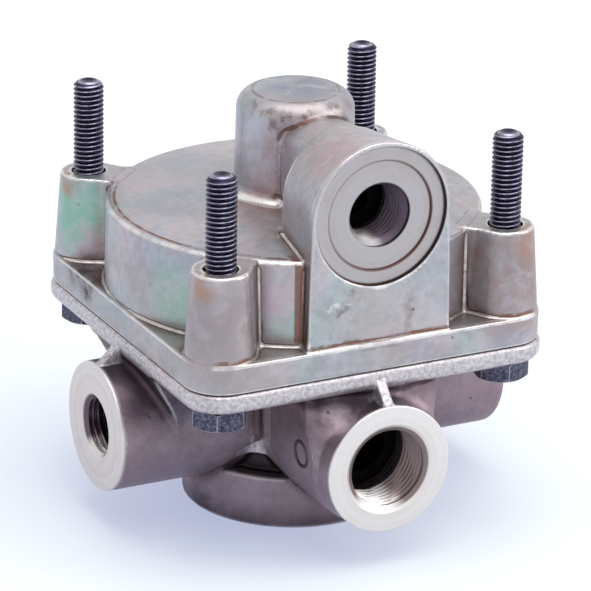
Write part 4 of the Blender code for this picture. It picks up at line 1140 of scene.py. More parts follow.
@dataclass(frozen=True)
class PlainFinish:
    """Small and inner pieces: one colour broken up by patches and grain."""

    name: str
    colour: Colour
    second: Colour
    roughness: float
    metallic: float
    grain: float
    grain_depth: float

    def build(self) -> bpy.types.Material:
        """Make the finish.

        Returns:
            The material.
        """
        made, w = new_material(self.name)
        patches = w.span(w.noise(self.grain / 6, 3, 0.6), 0.3, 0.7)
        fine = w.noise(self.grain, 3, 0.6)
        rough = w.math("MULTIPLY_ADD", fine, 0.2, self.roughness - 0.1)
        surface(w, w.mix(patches, self.colour, self.second), rough, self.metallic, fine, self.grain_depth)
        return made


def seen(w: Wiring) -> Socket:
    """One for what the camera sees, straight or mirrored in metal, and nothing for soft light."""
    paths = w.add("ShaderNodeLightPath").outputs
    return w.most(*(paths[kind] for kind in ("Is Camera Ray", "Is Glossy Ray", "Is Transmission Ray")))


@dataclass(frozen=True)
class FloorFinish:
    """Matt studio paper with a faint tooth: pale, and seen nearly white with a soft shadow."""

    name: str = "studio_paper"
    colour: Colour = (0.82, 0.83, 0.86)
    seen_colour: Colour = (0.48, 0.49, 0.39)
    glow: Colour = (0.345, 0.385, 0.56)
    tooth: Colour = (0.40, 0.40, 0.40)

    def build(self) -> bpy.types.Material:
        """Make the floor's finish; its glow grows outwards and is only for what is seen.

        Returns:
            The material.
        """
        made, w = new_material(self.name)
        look = seen(w)
        colour = w.mix(look, self.colour, self.seen_colour)
        tooth = w.span(w.noise(60, 2), 0.3, 0.7)
        shader = surface(w, w.mix(w.times(tooth, 0.05), colour, self.tooth), 0.8, 0.0)
        farther = w.span(w.coordinate("radius"), 130.0, 420.0, 1.0, 1.75)
        w.put(shader, emission_color=self.glow, emission_strength=w.times(look, farther))
        return made


# Castings


@dataclass
class CoverCasting:
    """Upper casting: flange, drum with a shallow cone, dome, control boss, neck and four towers."""

    base: float = 51.15
    half: float = 49.5
    corner: float = 10.0
    flange_top: float = 58.6
    drum_radius: float = 48.5
    drum_foot: float = 48.8
    drum_top: float = 81.1
    drum_shoulder: float = 1.5
    crown_rise: float = 3.0
    dome_radius: float = 15.3
    dome_top: float = 110.6
    dome_rounding: float = 4.6
    dome_foot: float = 2.6
    bolt_place: float = 40.0
    tower_top: float = 81.2
    post_radius: float = 7.4
    post_foot: float = 9.0
    web_half: float = 6.6
    web_foot: float = 7.4
    axis_level: float = 91.7
    face: float = 48.7
    boss_radius: float = 19.3
    boss_spread: float = 0.8
    rear: float = 26.7
    rear_radius: float = 16.75
    neck_half: float = 10.0
    neck_end_radius: float = 14.4
    recess_radius: float = 18.15
    recess_floor: float = 47.2
    bore_radius: float = 42.0
    stop_level: float = 74.5
    roof_level: float = 76.5
    stop_radius: float = 34.0
    pocket_radius: float = 10.0
    pocket_top: float = 104.6
    hole_radius: float = 4.5
    port_radius: float = 8.5
    port_end: float = 33.2
    passage_radius: float = 4.0
    foot_fillet: float = 0.75
    under: float = 57.1

    def flange(self, x: Array, y: Array, z: Array) -> Array:
        """Square plate with round corners, its upper edge rounded more than its lower.

        Args:
            x, y, z: coordinates.
        Returns:
            Distance to the flange.
        """
        outline = rounded_square(x, y, self.half, self.corner)
        upper = keep(outline, z - self.flange_top, 0.5)
        return keep(upper, self.base - z, 0.3)

    def drum(self, x: Array, y: Array, z: Array) -> Array:
        """Drafted drum whose top is a shallow cone, with a rounded shoulder.

        Args:
            x, y, z: coordinates.
        Returns:
            Distance to the drum.
        """
        radius = np.hypot(x, y)
        side = radius - ramp(z, self.flange_top, self.drum_top, self.drum_foot, self.drum_radius)
        inner = self.dome_radius + self.dome_foot
        outer = self.drum_radius - self.drum_shoulder
        roof = z - ramp(radius, inner, outer, self.drum_top + self.crown_rise, self.drum_top)
        return np.maximum(keep(side, roof, self.drum_shoulder), self.under - z)

    def dome(self, x: Array, y: Array, z: Array) -> Array:
        """Round dome whose flat top is slightly cambered.

        Args:
            x, y, z: coordinates.
        Returns:
            Distance to the dome.
        """
        radius = np.hypot(x, y)
        top = z - (self.dome_top - 0.0022 * radius ** 2)
        side = radius - ramp(z, 84, 106, self.dome_radius + 0.25, self.dome_radius - 0.1)
        return keep(side, top, self.dome_rounding)

    def towers(self, x: Array, y: Array, z: Array) -> Array:
        """Four drafted posts and the webs that tie them to the drum, mirrored from one corner.

        Args:
            x, y, z: coordinates.
        Returns:
            Distance to the towers.
        """
        along = (np.abs(x) + np.abs(y)) / math.sqrt(2)
        across = (np.abs(x) - np.abs(y)) / math.sqrt(2)
        reach = self.bolt_place * math.sqrt(2)
        post = np.hypot(along - reach, across) - ramp(
            z, self.flange_top, self.tower_top, self.post_foot, self.post_radius)
        web = np.abs(across) - ramp(z, self.flange_top, self.tower_top, self.web_foot, self.web_half)
        web = np.maximum(web, np.maximum(along - reach, 45.5 - along))
        outline = join(post, web, 1.5)
        return np.maximum(keep(outline, z - self.tower_top, 0.8), self.under - z)

    def control_boss(self, x: Array, y: Array, z: Array) -> Array:
        """Arched boss that tapers from its face to its rear rim and spreads a little to its foot.

        Args:
            x, y, z: coordinates.
        Returns:
            Distance to the boss.
        """
        radius = ramp(y, -self.face, -self.rear, self.boss_radius + 0.05, self.rear_radius)
        spread = ramp(y, -self.face, -self.rear, self.boss_spread, 0)
        below = np.maximum(self.axis_level - z, 0) / (self.axis_level - self.flange_top)
        side = np.hypot(x, np.maximum(z - self.axis_level, 0)) - radius - spread * below
        ends = keep(-self.face - y, y + self.rear, 0.5)
        return np.maximum(keep(side, ends, 0.7), self.under - z)

    def neck(self, x: Array, y: Array, z: Array) -> Array:
        """Narrower neck from the boss into the dome: flat sides under a crowned top.

        Args:
            x, y, z: coordinates.
        Returns:
            Distance to the neck.
        """
        radius = ramp(y, -self.rear, -8, self.rear_radius - 0.35, self.neck_end_radius)
        top = np.hypot(x, z - self.axis_level) - radius
        top = np.where(z < self.axis_level, z - self.axis_level - radius + 4, top)
        sides = keep(np.abs(x) - self.neck_half, top, 1.3)
        return np.maximum(sides, np.maximum(-self.rear - 3 - y, y + 4))

    def outside(self, x: Array, y: Array, z: Array) -> Array:
        """Cast outer form, with a fillet wherever two shapes meet.

        Args:
            x, y, z: coordinates.
        Returns:
            Distance to the outer form.
        """
        drum = self.drum(x, y, z)
        neck = join(self.dome(x, y, z), self.neck(x, y, z), 1.2)
        form = join(drum, neck, self.dome_foot)
        form = join(form, self.control_boss(x, y, z), 1.0)
        form = join(form, self.towers(x, y, z), self.foot_fillet)
        return join(form, self.flange(x, y, z), self.foot_fillet)

    def cavity(self, x: Array, y: Array, z: Array) -> Array:
        """Piston bore, its stop, the pocket in the dome, the port and its passage, the bolt holes.

        Args:
            x, y, z: coordinates.
        Returns:
            Distance to the cavities.
        """
        radius = np.hypot(x, y)
        bore = keep(radius - self.bore_radius, z - self.stop_level, 0.3)
        roof = z - ramp(radius, self.pocket_radius, self.stop_radius, self.roof_level + 3, self.roof_level)
        bore = np.minimum(bore, keep(radius - self.stop_radius, roof, 1.0))
        bore = np.minimum(bore, keep(radius - self.pocket_radius, z - self.pocket_top, 1.2))
        port = np.hypot(x, z - self.axis_level)
        bore = np.minimum(bore, np.maximum(port - self.passage_radius, y))
        bore = np.minimum(bore, np.maximum(port - self.port_radius, y + self.port_end))
        bore = np.minimum(bore, np.maximum(port - self.recess_radius, y + self.recess_floor))
        holes = np.hypot(np.abs(x) - self.bolt_place, np.abs(y) - self.bolt_place) - self.hole_radius
        return np.minimum(bore, holes)

    def form(self, x: Array, y: Array, z: Array) -> Array:
        """Whole casting: the outside with the cavities cut out, their outer edges just broken."""
        return cut(self.outside(x, y, z), self.cavity(x, y, z), 0.25)

    def build(self) -> bpy.types.Object:
        """Make the casting, on a lattice that is finer round the control boss and the dome.

        Returns:
            The linked object.
        """
        x = planes((-50.7, -20.9, 1.05), (-20.9, 20.9, 0.62), (20.9, 50.7, 1.05))
        y = planes((-50.7, -46.3, 0.42), (-46.3, -26.1, 0.85), (-26.1, 50.7, 1.0))
        z = planes((50.3, 60.9, 0.72), (60.9, 79.1, 1.0), (79.1, 111.8, 0.72))
        return cast_mesh("cover_casting", Contour(self.form, x, y, z))

    def dress(self) -> bpy.types.Object:
        """The casting in its coat, in place of the CAD's cover."""
        return settle(self.build(), CoverFinish().build(), "housing", "cast_cover", "upper_cover")


@dataclass
class BodyCasting:
    """Lower casting: flange, four bosses with their blocks, neck and exhaust collar."""

    half: float = 50.0
    corner: float = 10.0
    flange_base: float = 45.5
    top: float = 50.85
    collar_radius: float = 28.2
    collar_top: float = 14.0
    neck_radius: float = 25.0
    pocket_radius: float = 23.6
    pocket_top: float = 19.0
    axis_level: float = 26.6
    boss_radius: float = 17.0
    blind_radius: float = 16.3
    shoulder: float = 0.55
    block_spread: float = 0.06
    block_reach: float = 48.6
    reach: float = 56.0
    port_face_back: float = 0.5
    rib_half: float = 1.4
    guide_radius: float = 22.0
    chamber_radius: float = 20.5
    seal_radius: float = 44.65
    seal_half: float = 1.25
    seal_floor: float = 48.65
    supply_radius: float = 11.7
    supply_end: float = 38.6
    supply_passage: float = 7.4
    delivery_radius: float = 8.7
    delivery_end: float = 37.6
    delivery_passage: float = 4.5
    riser_place: float = 33.0
    bolt_place: float = 40.0
    hole_radius: float = 4.5
    scoops: tuple[tuple[float, ...], ...] = ((-12.0, -54.0, 44.0, 8.6), (13.5, -53.5, 44.0, 6.5))

    def flange(self, x: Array, y: Array, z: Array) -> Array:
        """Square plate with round corners, its edge a full bead.

        Args:
            x, y, z: coordinates.
        Returns:
            Distance to the flange.
        """
        outline = rounded_square(x, y, self.half, self.corner)
        lower = keep(outline, self.flange_base - z, 2.7)
        return keep(lower, z - self.top, 1.2)

    def neck(self, x: Array, y: Array, z: Array) -> Array:
        """Round neck with an arched pocket over the collar between each two bosses.

        Args:
            x, y, z: coordinates.
        Returns:
            Distance to the neck.
        """
        radius = np.hypot(x, y)
        across = (np.abs(x) - np.abs(y)) / math.sqrt(2)
        arch = z - self.pocket_top + across ** 2 / 26
        pocket = np.maximum(self.pocket_radius - radius, arch)
        return cut(np.maximum(radius - self.neck_radius, between(z, 6, self.top - 1)), pocket, 0.4)

    def arm(self, out: Array, across: Array, z: Array, radius: float, shoulder: float, end: float,
            rounding: float, low: float, rim: float) -> Array:
        """Round boss with the drafted block that ties it to the flange.

        Args:
            out: distance from the valve axis along the boss.
            across: distance sideways from the boss's axis.
            z: height.
            radius: radius of the boss at its end.
            shoulder: how much thicker it is behind its end.
            end: where it ends.
            rounding: rounding of the end's edge.
            low: where the block's leaning end starts at the axis level.
            rim: rounding of the block's standing edges.
        Returns:
            Distance to the boss and block.
        """
        above = z - self.axis_level
        size = ramp(out, 47.6, 50.0, radius + shoulder, radius)
        side = np.hypot(across, np.minimum(above, 0)) - size - self.block_spread * np.maximum(above, 0)
        lean = ramp(z, self.axis_level, self.flange_base, low, self.block_reach)
        steep = (self.block_reach - low) / (self.flange_base - self.axis_level)
        block_end = (out - lean) / math.hypot(1, steep)
        filled = join(np.hypot(across, above) - size, block_end, 2.2)
        edge = ramp(above, 1, 9, 0.0, rim)
        form = np.where(above < 0.5, side, keep(side, filled, edge))
        form = np.maximum(form, z - 47.5)
        return np.maximum(keep(form, out - end, rounding), -out)

    def rib(self, out: Array, across: Array, z: Array) -> Array:
        """Thick parting rib on the centre plane, from a port boss up over the flange's bead.

        Args:
            out: distance from the valve axis along the boss.
            across: distance sideways.
            z: height.
        Returns:
            Distance to the rib.
        """
        end = out - ramp(z, 43.9, 48.3, 54.8, 50.5)
        ends = np.maximum(np.maximum(end, 40 - out), between(z, 42, 48.6))
        return keep(np.abs(across) - self.rib_half, ends, 0.6)

    def outside(self, x: Array, y: Array, z: Array) -> Array:
        """Cast outer form, with a fillet wherever two shapes meet.

        Args:
            x, y, z: coordinates.
        Returns:
            Distance to the outer form.
        """
        face = self.reach - self.port_face_back
        radius = np.hypot(x, y)
        collar = keep(radius - self.collar_radius, between(z, 0, self.collar_top), 0.9)
        form = join(collar, self.neck(x, y, z), 0.7)
        fillet = ramp(z, 16, 22, 0.6, 1.1)
        for out, across, boss, shoulder, end, rounding, low, rim in (
            (-x, y, self.boss_radius, 0.0, face, 0.3, 38.0, 1.0),
            (-y, x, self.boss_radius, self.shoulder, face, 0.3, 47.8, 4.0),
            (x, y, self.blind_radius, 0.0, self.reach, 2.4, 38.0, 1.6),
            (y, x, self.blind_radius, 0.0, self.reach, 2.4, 38.0, 1.6),
        ):
            form = join(form, self.arm(out, across, z, boss, shoulder, end, rounding, low, rim), fillet)
        for right, back, up, reach in self.scoops:
            form = cut(form, np.sqrt((x - right) ** 2 + (y - back) ** 2 + (z - up) ** 2) - reach, 3.0)
        form = join(form, self.flange(x, y, z), 1.5)
        form = join(form, self.rib(-x, y, z), 0.8)
        return join(form, self.rib(-y, x, z), 0.8)

    def cavity(self, x: Array, y: Array, z: Array) -> Array:
        """Stepped bore up the valve axis, the ports and their passages, grooves and bolt holes.

        Args:
            x, y, z: coordinates.
        Returns:
            Distance to the cavities.
        """
        radius = np.hypot(x, y)
        steps = (
            (self.guide_radius, -3, 17.3), (23.3, 4.9, 7.0), (self.chamber_radius, 10, 34.5),
            (10.0, 30, 40), (20.0, 37, 52), (38.0, 48, 54),
        )
        bore = radius - self.guide_radius - 1.2 + np.maximum(z, 0)
        bore = np.maximum(bore, z - 1.4)
        for size, low, high in steps:
            bore = np.minimum(bore, np.maximum(radius - size, between(z, low, high)))
        groove = np.abs(radius - self.seal_radius) - self.seal_half
        supply = np.hypot(x, z - self.axis_level)
        delivery = np.hypot(y, z - self.axis_level)
        riser = np.hypot(x + self.riser_place, y) - self.delivery_passage
        holes = np.hypot(np.abs(x) - self.bolt_place, np.abs(y) - self.bolt_place) - self.hole_radius
        for side, end in (
            (groove, self.seal_floor - z),
            (supply - self.supply_radius, y + self.supply_end),
            (supply - self.supply_passage, np.maximum(y + 19, -y - 40)),
            (delivery - self.delivery_radius, x + self.delivery_end),
            (delivery - self.delivery_passage, np.maximum(x + self.riser_place, -x - 40)),
            (riser, self.axis_level - self.delivery_passage - z),
            (holes, 40 - z),
        ):
            bore = np.minimum(bore, np.maximum(side, end))
        return bore

    def form(self, x: Array, y: Array, z: Array) -> Array:
        """Whole casting: the outside with the cavities cut out."""
        return cut(self.outside(x, y, z), self.cavity(x, y, z), 0.2)

    def build(self) -> bpy.types.Object:
        """Make the casting.

        Returns:
            The linked object.
        """
        x = planes((-57.3, 57.4, 0.92))
        y = planes((-57.3, 57.4, 0.92))
        z = planes((-0.9, 20.9, 0.92), (20.9, 41.6, 0.92), (41.6, 51.9, 0.66))
        return cast_mesh("body_casting", Contour(self.form, x, y, z))

    def dress(self) -> bpy.types.Object:
        """The casting in its coat, in place of the CAD's body."""
        return settle(self.build(), BodyFinish().build(), "housing", "cast_body", "lower_body")


# Threads, bolts, ports and spring


def thread_depth(phase: Array) -> Array:
    """Share of the full depth at a phase of a V thread: 0 on its flat crests, 1 in its roots."""
    swing = np.abs(2 * (phase % 1) - 1)
    return np.clip((0.86 - swing) / 0.72, 0, 1)


@dataclass
class HexBolt:
    """M8 bolt: chamfered hex head, shank, rolled thread and a rounded, dimpled tip."""

    node: str
    x: float
    y: float
    corner_turn: float
    thread_turn: float
    head_base: float = 39.9
    head_top: float = 45.2
    across_flats: float = 13.0
    shank_radius: float = 4.0
    pitch: float = 1.25
    depth: float = 0.68
    thread_start: float = 74.0
    tip: float = 105.9
    steps: int = 48
    rows_per_pitch: int = 9

    def angles(self) -> Array:
        """Angles round the bolt, every eighth of them on a corner of the head."""
        return math.radians(self.corner_turn) + np.linspace(0, math.tau, self.steps, endpoint=False)

    def row(self, radius: Measure, height: Measure, wear: Measure) -> Array:
        """One ring of points; each value holds for the whole ring or has one number per point.

        Args:
            radius: distance from the bolt's axis.
            height: height.
            wear: how bare the metal is.
        Returns:
            Rows of x, y, z and wear.
        """
        angle = self.angles()
        flat = 0 * angle
        return np.stack([radius * np.cos(angle), radius * np.sin(angle), height + flat, wear + flat], axis=1)

    def head_rows(self) -> list[Array]:
        """Rings of the head from the middle of its lower face to the shank.

        The outline is the flats' distance over the cosine of the angle from the nearest flat's
        middle; the chamfers are cones, so that they cut deeper at the corners.

        Returns:
            The rings in order.
        """
        from_corner = self.angles() - math.radians(self.corner_turn)
        folded = from_corner % (math.pi / 3) - math.pi / 6
        inner = self.across_flats / 2
        outline = np.minimum(inner / np.cos(folded), inner * 1.145)
        corner = np.maximum(outline / inner - 0.955, 0)
        chamfer = corner * inner * math.tan(math.radians(30))
        worn = np.clip((np.abs(folded) / (math.pi / 6) - 0.8) * 5, 0, 1)
        low, high = self.head_base, self.head_top
        return [
            self.row(0.02, low + 0.35, 0), self.row(4.6, low + 0.35, 0), self.row(5.0, low, 0.3),
            self.row(inner * 0.94, low, 0.2), self.row(inner * 0.955, low, 1.0),
            self.row(outline - 0.08, low + chamfer, 1.0), self.row(outline, low + chamfer + 0.3, worn),
            self.row(outline, high - 0.5 * chamfer - 0.3, worn),
            self.row(outline - 0.1, high - 0.5 * chamfer, 1.0),
            self.row(inner * 0.97, high, 0.6), self.row(4.6, high, 0), self.row(self.shank_radius, high, 0),
        ]

    def thread_rows(self) -> list[Array]:
        """Rings of the thread: radius less the depth of a helix, faded in below and cut by the tip.

        Returns:
            The rings in order.
        """
        angle = self.angles()
        count = int((self.tip - 0.5 - self.thread_start) / self.pitch * self.rows_per_pitch)
        rows = []
        for height in np.linspace(self.thread_start, self.tip - 0.5, count):
            phase = height / self.pitch - angle / math.tau + self.thread_turn
            root = thread_depth(phase) * min(1.0, (height - self.thread_start) / (1.5 * self.pitch))
            radius = self.shank_radius - 0.02 - self.depth * root
            radius = np.minimum(radius, 2.75 + 0.95 * min(self.tip - height, 3.0))
            rows.append(self.row(radius, height, 1 - root))
        return rows

    def build(self) -> bpy.types.Object:
        """Mesh of the whole bolt, closed at the head and at the tip, with its worn crests marked.

        Returns:
            The linked object.
        """
        rows = self.head_rows() + self.thread_rows()
        for radius, below, wear in (
            (2.75, 0.42, 1.0), (2.55, 0.16, 1.0), (2.2, 0.0, 0.9),
            (1.5, 0.0, 0.5), (1.1, 0.22, 0.1), (0.02, 0.4, 0.0),
        ):
            rows.append(self.row(radius, self.tip - below, wear))
        points = np.vstack(rows)
        faces = grid_faces(len(rows), self.steps, wrap_rows=False)
        faces.append(list(range(self.steps))[::-1])
        start = (len(rows) - 1) * self.steps
        faces.append(list(range(start, start + self.steps)))
        made = make_mesh("threaded_" + self.node, points[:, :3] + np.array([self.x, self.y, 0]), faces)
        wear = made.data.attributes.new("wear", "FLOAT", "POINT")
        wear.data.foreach_set("value", points[:, 3].astype(np.float32))
        return made

    def dress(self) -> bpy.types.Object:
        """The bolt in black steel, in place of the CAD's own."""
        return settle(self.build(), BlackSteelFinish().build(), "housing", "black_steel", self.node)


BOLTS = tuple(
    HexBolt(node, x, y, corner_turn, thread_turn) for node, x, y, corner_turn, thread_turn in (
        ("bolt_front_left", -40, -40, -119.4, 0.1), ("bolt_front_right", 40, -40, -100.0, 0.4),
        ("bolt_back_left", -40, 40, -128.0, 0.7), ("bolt_back_right", 40, 40, -90.0, 0.25),
    )
)


@dataclass
class PortLiner:
    """Machined face of a port and its threaded bore, as one closed turned piece.

    The thread is right-handed: the bore's radius grows by the thread's depth where the helix of
    its pitch passes, and the depth fades out at the mouth and at the end.
    """

    name: str
    side: Side
    level: float
    slot: str
    front: Array
    wall: float
    minor: float
    major: float
    thread_from: float
    thread_to: float
    flange_back: float
    finish: TurnedFinish
    pitch: float = 1.5
    steps: int = 128
    rows_per_pitch: int = 8

    def build(self) -> bpy.types.Object:
        """Make the liner.

        Rows go from the outer edge over the front profile to the mouth, in along the thread, and
        back outside the wall to the outer edge.

        Returns:
            The linked object.
        """
        angle = np.linspace(0, math.tau, self.steps, endpoint=False)
        rows = [np.broadcast_to(point, (self.steps, 2)) for point in self.front]
        count = int((self.thread_from - self.thread_to) / self.pitch * self.rows_per_pitch)
        for height in np.linspace(self.thread_from, self.thread_to, count):
            fade = min(1.0, (self.thread_from - height) / 0.8 + 0.35, (height - self.thread_to) / 1.5)
            phase = height / self.pitch + angle / math.tau
            radius = self.minor + (self.major - self.minor) * thread_depth(phase) * fade
            rows.append(np.stack([radius, height + 0 * angle], axis=1))
        rim = self.front[0][0]
        back = ((self.wall, self.thread_to), (self.wall, self.flange_back), (rim, self.flange_back))
        rows += [np.broadcast_to(point, (self.steps, 2)) for point in back]
        radius, height = np.moveaxis(np.stack(rows), -1, 0)
        points = np.stack([radius * np.cos(angle), radius * np.sin(angle), height], axis=-1).reshape(-1, 3)
        faces = [face[::-1] for face in grid_faces(len(rows), self.steps, wrap_rows=True)]
        return make_mesh(self.name, place(points, self.side.frame(), (0, 0, self.level)), faces)

    def dress(self) -> bpy.types.Object:
        """The liner in turned metal."""
        return settle(self.build(), self.finish.build(self.side, self.level), "housing", self.slot)


FACE_CORNER = arc((16.55, 55.6), 0.4, 0, 90, 4)

PORT_LINERS = (
    PortLiner(
        name="supply_port_ring", side=Side.FRONT, level=26.6, slot="cast_body",
        front=chain(FACE_CORNER, (12.0, 56.0), (11.8, 55.85), (10.2, 54.9)),
        wall=11.6, minor=10.2, major=11.05, thread_from=54.5, thread_to=38.7, flange_back=55.15,
        finish=TurnedFinish(
            name="machined_supply", colour=(0.72, 0.69, 0.69), inside=(0.22, 0.165, 0.165),
            ring_stain=(0.64, 0.59, 0.56), mouth=11.05, depth=42.6, roughness=0.34,
            bright_way=(-0.28, -0.96)),
    ),
    PortLiner(
        name="delivery_port_ring", side=Side.LEFT, level=26.6, slot="cast_body",
        front=chain(FACE_CORNER, (8.55, 56.0), (8.35, 55.8), (7.2, 54.65)),
        wall=8.6, minor=7.2, major=8.05, thread_from=54.6, thread_to=37.7, flange_back=55.2,
        finish=TurnedFinish(
            name="machined_delivery", colour=(0.66, 0.62, 0.62), inside=(0.13, 0.09, 0.12),
            ring_stain=(0.56, 0.48, 0.45), mouth=8.0, depth=50.5, roughness=0.36, bright_way=(0.1, -0.99)),
    ),
    PortLiner(
        name="control_port_face", side=Side.FRONT, level=91.7, slot="cast_cover",
        front=chain((18.12, 47.7), (14.45, 47.7), (14.25, 47.5), (14.25, 46.7), (9.0, 46.7), (7.2, 44.9)),
        wall=8.4, minor=7.2, major=8.05, thread_from=44.8, thread_to=33.3, flange_back=47.25,
        finish=TurnedFinish(
            name="machined_control", colour=(0.42, 0.40, 0.41), inside=(0.10, 0.075, 0.10),
            ring_stain=(0.37, 0.32, 0.30), mouth=8.3, depth=35.0, roughness=0.42, bright_way=(-0.50, -0.87),
            grooves=(18.0, 14.3)),
    ),
)


@dataclass
class RingMark:
    """Plain raised ring on the side of the supply boss: a half-round ridge bent onto a cylinder."""

    out: float = 41.6
    level: float = 28.3
    radius: float = 3.3
    ridge: float = 0.5
    boss_radius: float = 17.55
    boss_spread: float = 0.06
    axis_level: float = 26.6
    steps_round: int = 64
    steps_ridge: int = 12

    def build(self) -> bpy.types.Object:
        """Make the ring.

        A circle of the ridge's radius goes round the mark; its height over the boss is added to
        the boss's radius. Below the boss's axis its place up the boss becomes an angle round that
        axis; above it the boss's side is straight and spreads a little.

        Returns:
            The linked object.
        """
        around = np.linspace(0, math.tau, self.steps_round, endpoint=False)[:, None]
        ridge = np.linspace(0, math.tau, self.steps_ridge, endpoint=False)[None, :]
        reach = self.radius + self.ridge * np.cos(ridge)
        height = 0.8 * self.ridge * np.sin(ridge) + 0 * around
        out = self.out + reach * np.cos(around)
        lift = self.level - self.axis_level + reach * np.sin(around)
        straight = np.maximum(lift, 0)
        angle = np.minimum(lift, 0) / self.boss_radius
        size = self.boss_radius + height
        sideways = size * np.cos(angle) + self.boss_spread * straight
        points = np.stack([-sideways, -out, self.axis_level + size * np.sin(angle) + straight], axis=-1)
        faces = [face[::-1] for face in grid_faces(self.steps_round, self.steps_ridge, wrap_rows=True)]
        return make_mesh("ring_mark", points.reshape(-1, 3), faces)

    def dress(self) -> bpy.types.Object:
        """Ring in the dark tone of its outline.

        Returns:
            The ring.
        """
        dark, pale = (0.035, 0.025, 0.035), (0.10, 0.08, 0.10)
        outline = PlainFinish("mark_outline", dark, pale, 0.45, 0.6, 1100, 0.05)
        return settle(self.build(), outline.build(), "housing", "cast_body")


@dataclass
class ReturnSpring:
    """Compression spring of the valve: round wire on a helix with closed end coils."""

    radius: float = 12.2
    wire: float = 0.8
    base: float = 18.6
    height: float = 9.1
    turns: float = 3.0
    steps_round: int = 14
    steps_turn: int = 48

    def build(self) -> bpy.types.Object:
        """Make the wire: a circle carried along the helix, its ends closed flat.

        Returns:
            The linked object.
        """
        count = int(self.turns * self.steps_turn) + 1
        turn = np.linspace(0, self.turns, count)
        rise = self.height - 2 * self.wire
        share = np.clip((turn - 0.35) / (self.turns - 0.7), 0, 1)
        height = self.base + self.wire + rise * share
        angle = turn * math.tau
        out = np.stack([np.cos(angle), np.sin(angle), 0 * angle], axis=1)
        centre = out * self.radius + np.stack([0 * height, 0 * height, height], axis=1)
        round_wire = np.linspace(0, math.tau, self.steps_round, endpoint=False)
        up = np.array([0.0, 0.0, 1.0])
        ring = out[:, None, :] * np.cos(round_wire)[None, :, None] + up * np.sin(round_wire)[None, :, None]
        points = (centre[:, None, :] + ring * self.wire).reshape(-1, 3)
        faces = [face[::-1] for face in grid_faces(count, self.steps_round, wrap_rows=False)]
        faces.append(list(range(self.steps_round)))
        last = (count - 1) * self.steps_round
        faces.append(list(range(last, last + self.steps_round))[::-1])
        return make_mesh("return_spring", points, faces)

    def dress(self) -> bpy.types.Object:
        """The spring in bright wire, carried by the valve.

        Returns:
            The linked object.
        """
        steel = PlainFinish("spring_wire", (0.55, 0.56, 0.58), (0.42, 0.42, 0.45), 0.3, 1.0, 900, 0.01)
        spring = settle(self.build(), steel.build(), "valve", "spring_steel", "valve_spring")
        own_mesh(spring)
        return spring


# Studio


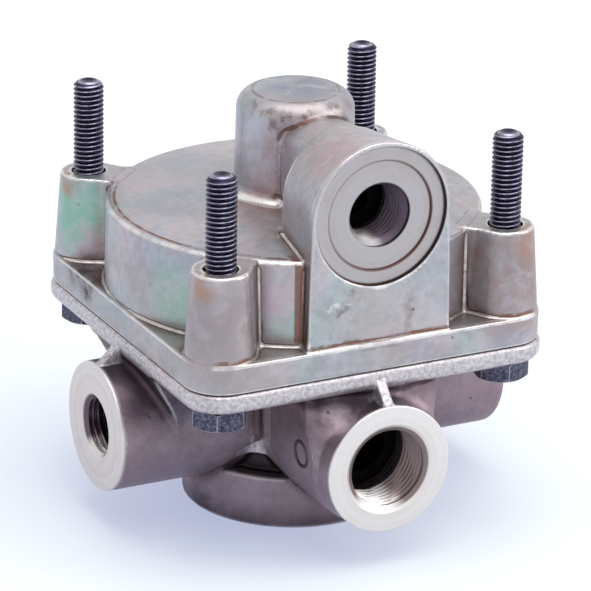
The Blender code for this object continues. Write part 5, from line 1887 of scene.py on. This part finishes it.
@dataclass
class Studio:
    """Floor, soft lamps, world and camera."""

    camera_place: Point = (-458.47, -904.81, 445.25)
    camera_target: Point = (-0.88, -3.75, 55.16)
    roll: float = 1.024
    lens: float = 254.655

    def build(self) -> None:
        """Make everything round the object."""
        self.floor()
        self.lamps()
        self.world()
        self.camera()

    def floor(self) -> None:
        """Pale floor that fades into the white background."""
        size = 3000.0
        corners = np.array([(-size, -size, 0), (size, -size, 0), (size, size, 0), (-size, size, 0)])
        floor = make_mesh("studio_floor", corners, [[0, 1, 2, 3]])
        paint(floor, FloorFinish().build())

    def lamps(self) -> None:
        """Large soft lamps: one overhead, one from the right."""
        for name, place_mm, size, power, tint in (
            ("overhead", (40, -120, 850), 760, 5.0, (1.0, 1.0, 1.0)),
            ("key", (700, -500, 500), 420, 2.8, (1.0, 0.98, 0.96)),
        ):
            lamp = bpy.data.lights.new(name, "AREA")
            lamp.size = size * MM
            lamp.energy = power
            lamp.color = tint
            made = bpy.data.objects.new(name, lamp)
            bpy.context.scene.collection.objects.link(made)
            made.location = Vector(place_mm) * MM
            made.rotation_euler = (Vector((0, 0, 0.055)) - made.location).to_track_quat("-Z", "Y").to_euler()

    def world(self) -> None:
        """Pale surroundings; the camera sees them white."""
        world = bpy.data.worlds.new("studio_world")
        bpy.context.scene.world = world
        world.use_nodes = True
        w = Wiring(world.node_tree)
        look = seen(w)
        background = w.tree.nodes["Background"]
        w.feed(background.inputs["Color"], w.mix(look, (0.93, 0.935, 0.96), (1.0, 1.0, 1.0)))
        w.feed(background.inputs["Strength"], w.math("MULTIPLY_ADD", look, 0.2, 0.8))

    def camera(self) -> None:
        """Long lens at the photograph's angle."""
        data = bpy.data.cameras.new("camera")
        data.lens = self.lens
        data.sensor_width = 36
        data.clip_end = 10
        made = bpy.data.objects.new("camera", data)
        bpy.context.scene.collection.objects.link(made)
        origin = Vector(self.camera_place) * MM
        ahead = (Vector(self.camera_target) * MM - origin).normalized()
        level = ahead.to_track_quat("-Z", "Y").to_matrix().to_4x4()
        tilt = Matrix.Rotation(math.radians(self.roll), 4, "Z")
        made.matrix_world = Matrix.Translation(origin) @ level @ tilt
        bpy.context.scene.camera = made
        bpy.context.scene.view_settings.view_transform = "Standard"


# Main


def dress_inner_nodes() -> None:
    """Give the nodes whose shape stays a finish of their own."""
    finishes = {
        PlainFinish("seal_rubber", (0.022, 0.022, 0.024), (0.035, 0.034, 0.034), 0.6, 0.0, 1400, 0.02): (
            "housing_seal", "guide_outer_seal", "guide_inner_seal", "exhaust_flap", "valve_seal_disc",
            "piston_seal"),
        PlainFinish("turned_piston", (0.62, 0.62, 0.63), (0.54, 0.54, 0.55), 0.35, 1.0, 900, 0.01): (
            "relay_piston",),
        PlainFinish("turned_brass", (0.66, 0.48, 0.22), (0.58, 0.40, 0.17), 0.32, 1.0, 900, 0.01): (
            "valve_tube",),
        PlainFinish("bright_steel", (0.50, 0.51, 0.53), (0.42, 0.42, 0.45), 0.32, 1.0, 900, 0.01): (
            "spring_seat", "retaining_ring"),
        PlainFinish("moulded_guide", (0.045, 0.045, 0.05), (0.06, 0.06, 0.065), 0.5, 0.0, 1100, 0.02): (
            "guide_insert",),
    }
    for finish, nodes in finishes.items():
        material = finish.build()
        for node in nodes:
            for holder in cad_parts[node].material_slots:
                holder.material = material
        log.info("%s: %s", finish.name, ", ".join(nodes))


def main() -> None:
    """Build, dress and report every sub-assembly in order, then make the studio round them."""
    logging.basicConfig(level=logging.INFO, format="%(name)s: %(message)s")
    for part in (CoverCasting(), BodyCasting(), RingMark(), *BOLTS, *PORT_LINERS, ReturnSpring()):
        piece = part.dress()
        size = " x ".join(f"{side / MM:.1f}" for side in piece.dimensions)
        log.info("%s: %d faces, %s mm", piece.name, len(piece.data.polygons), size)
    dress_inner_nodes()
    Studio().build()


if __name__ == "__main__":
    main()
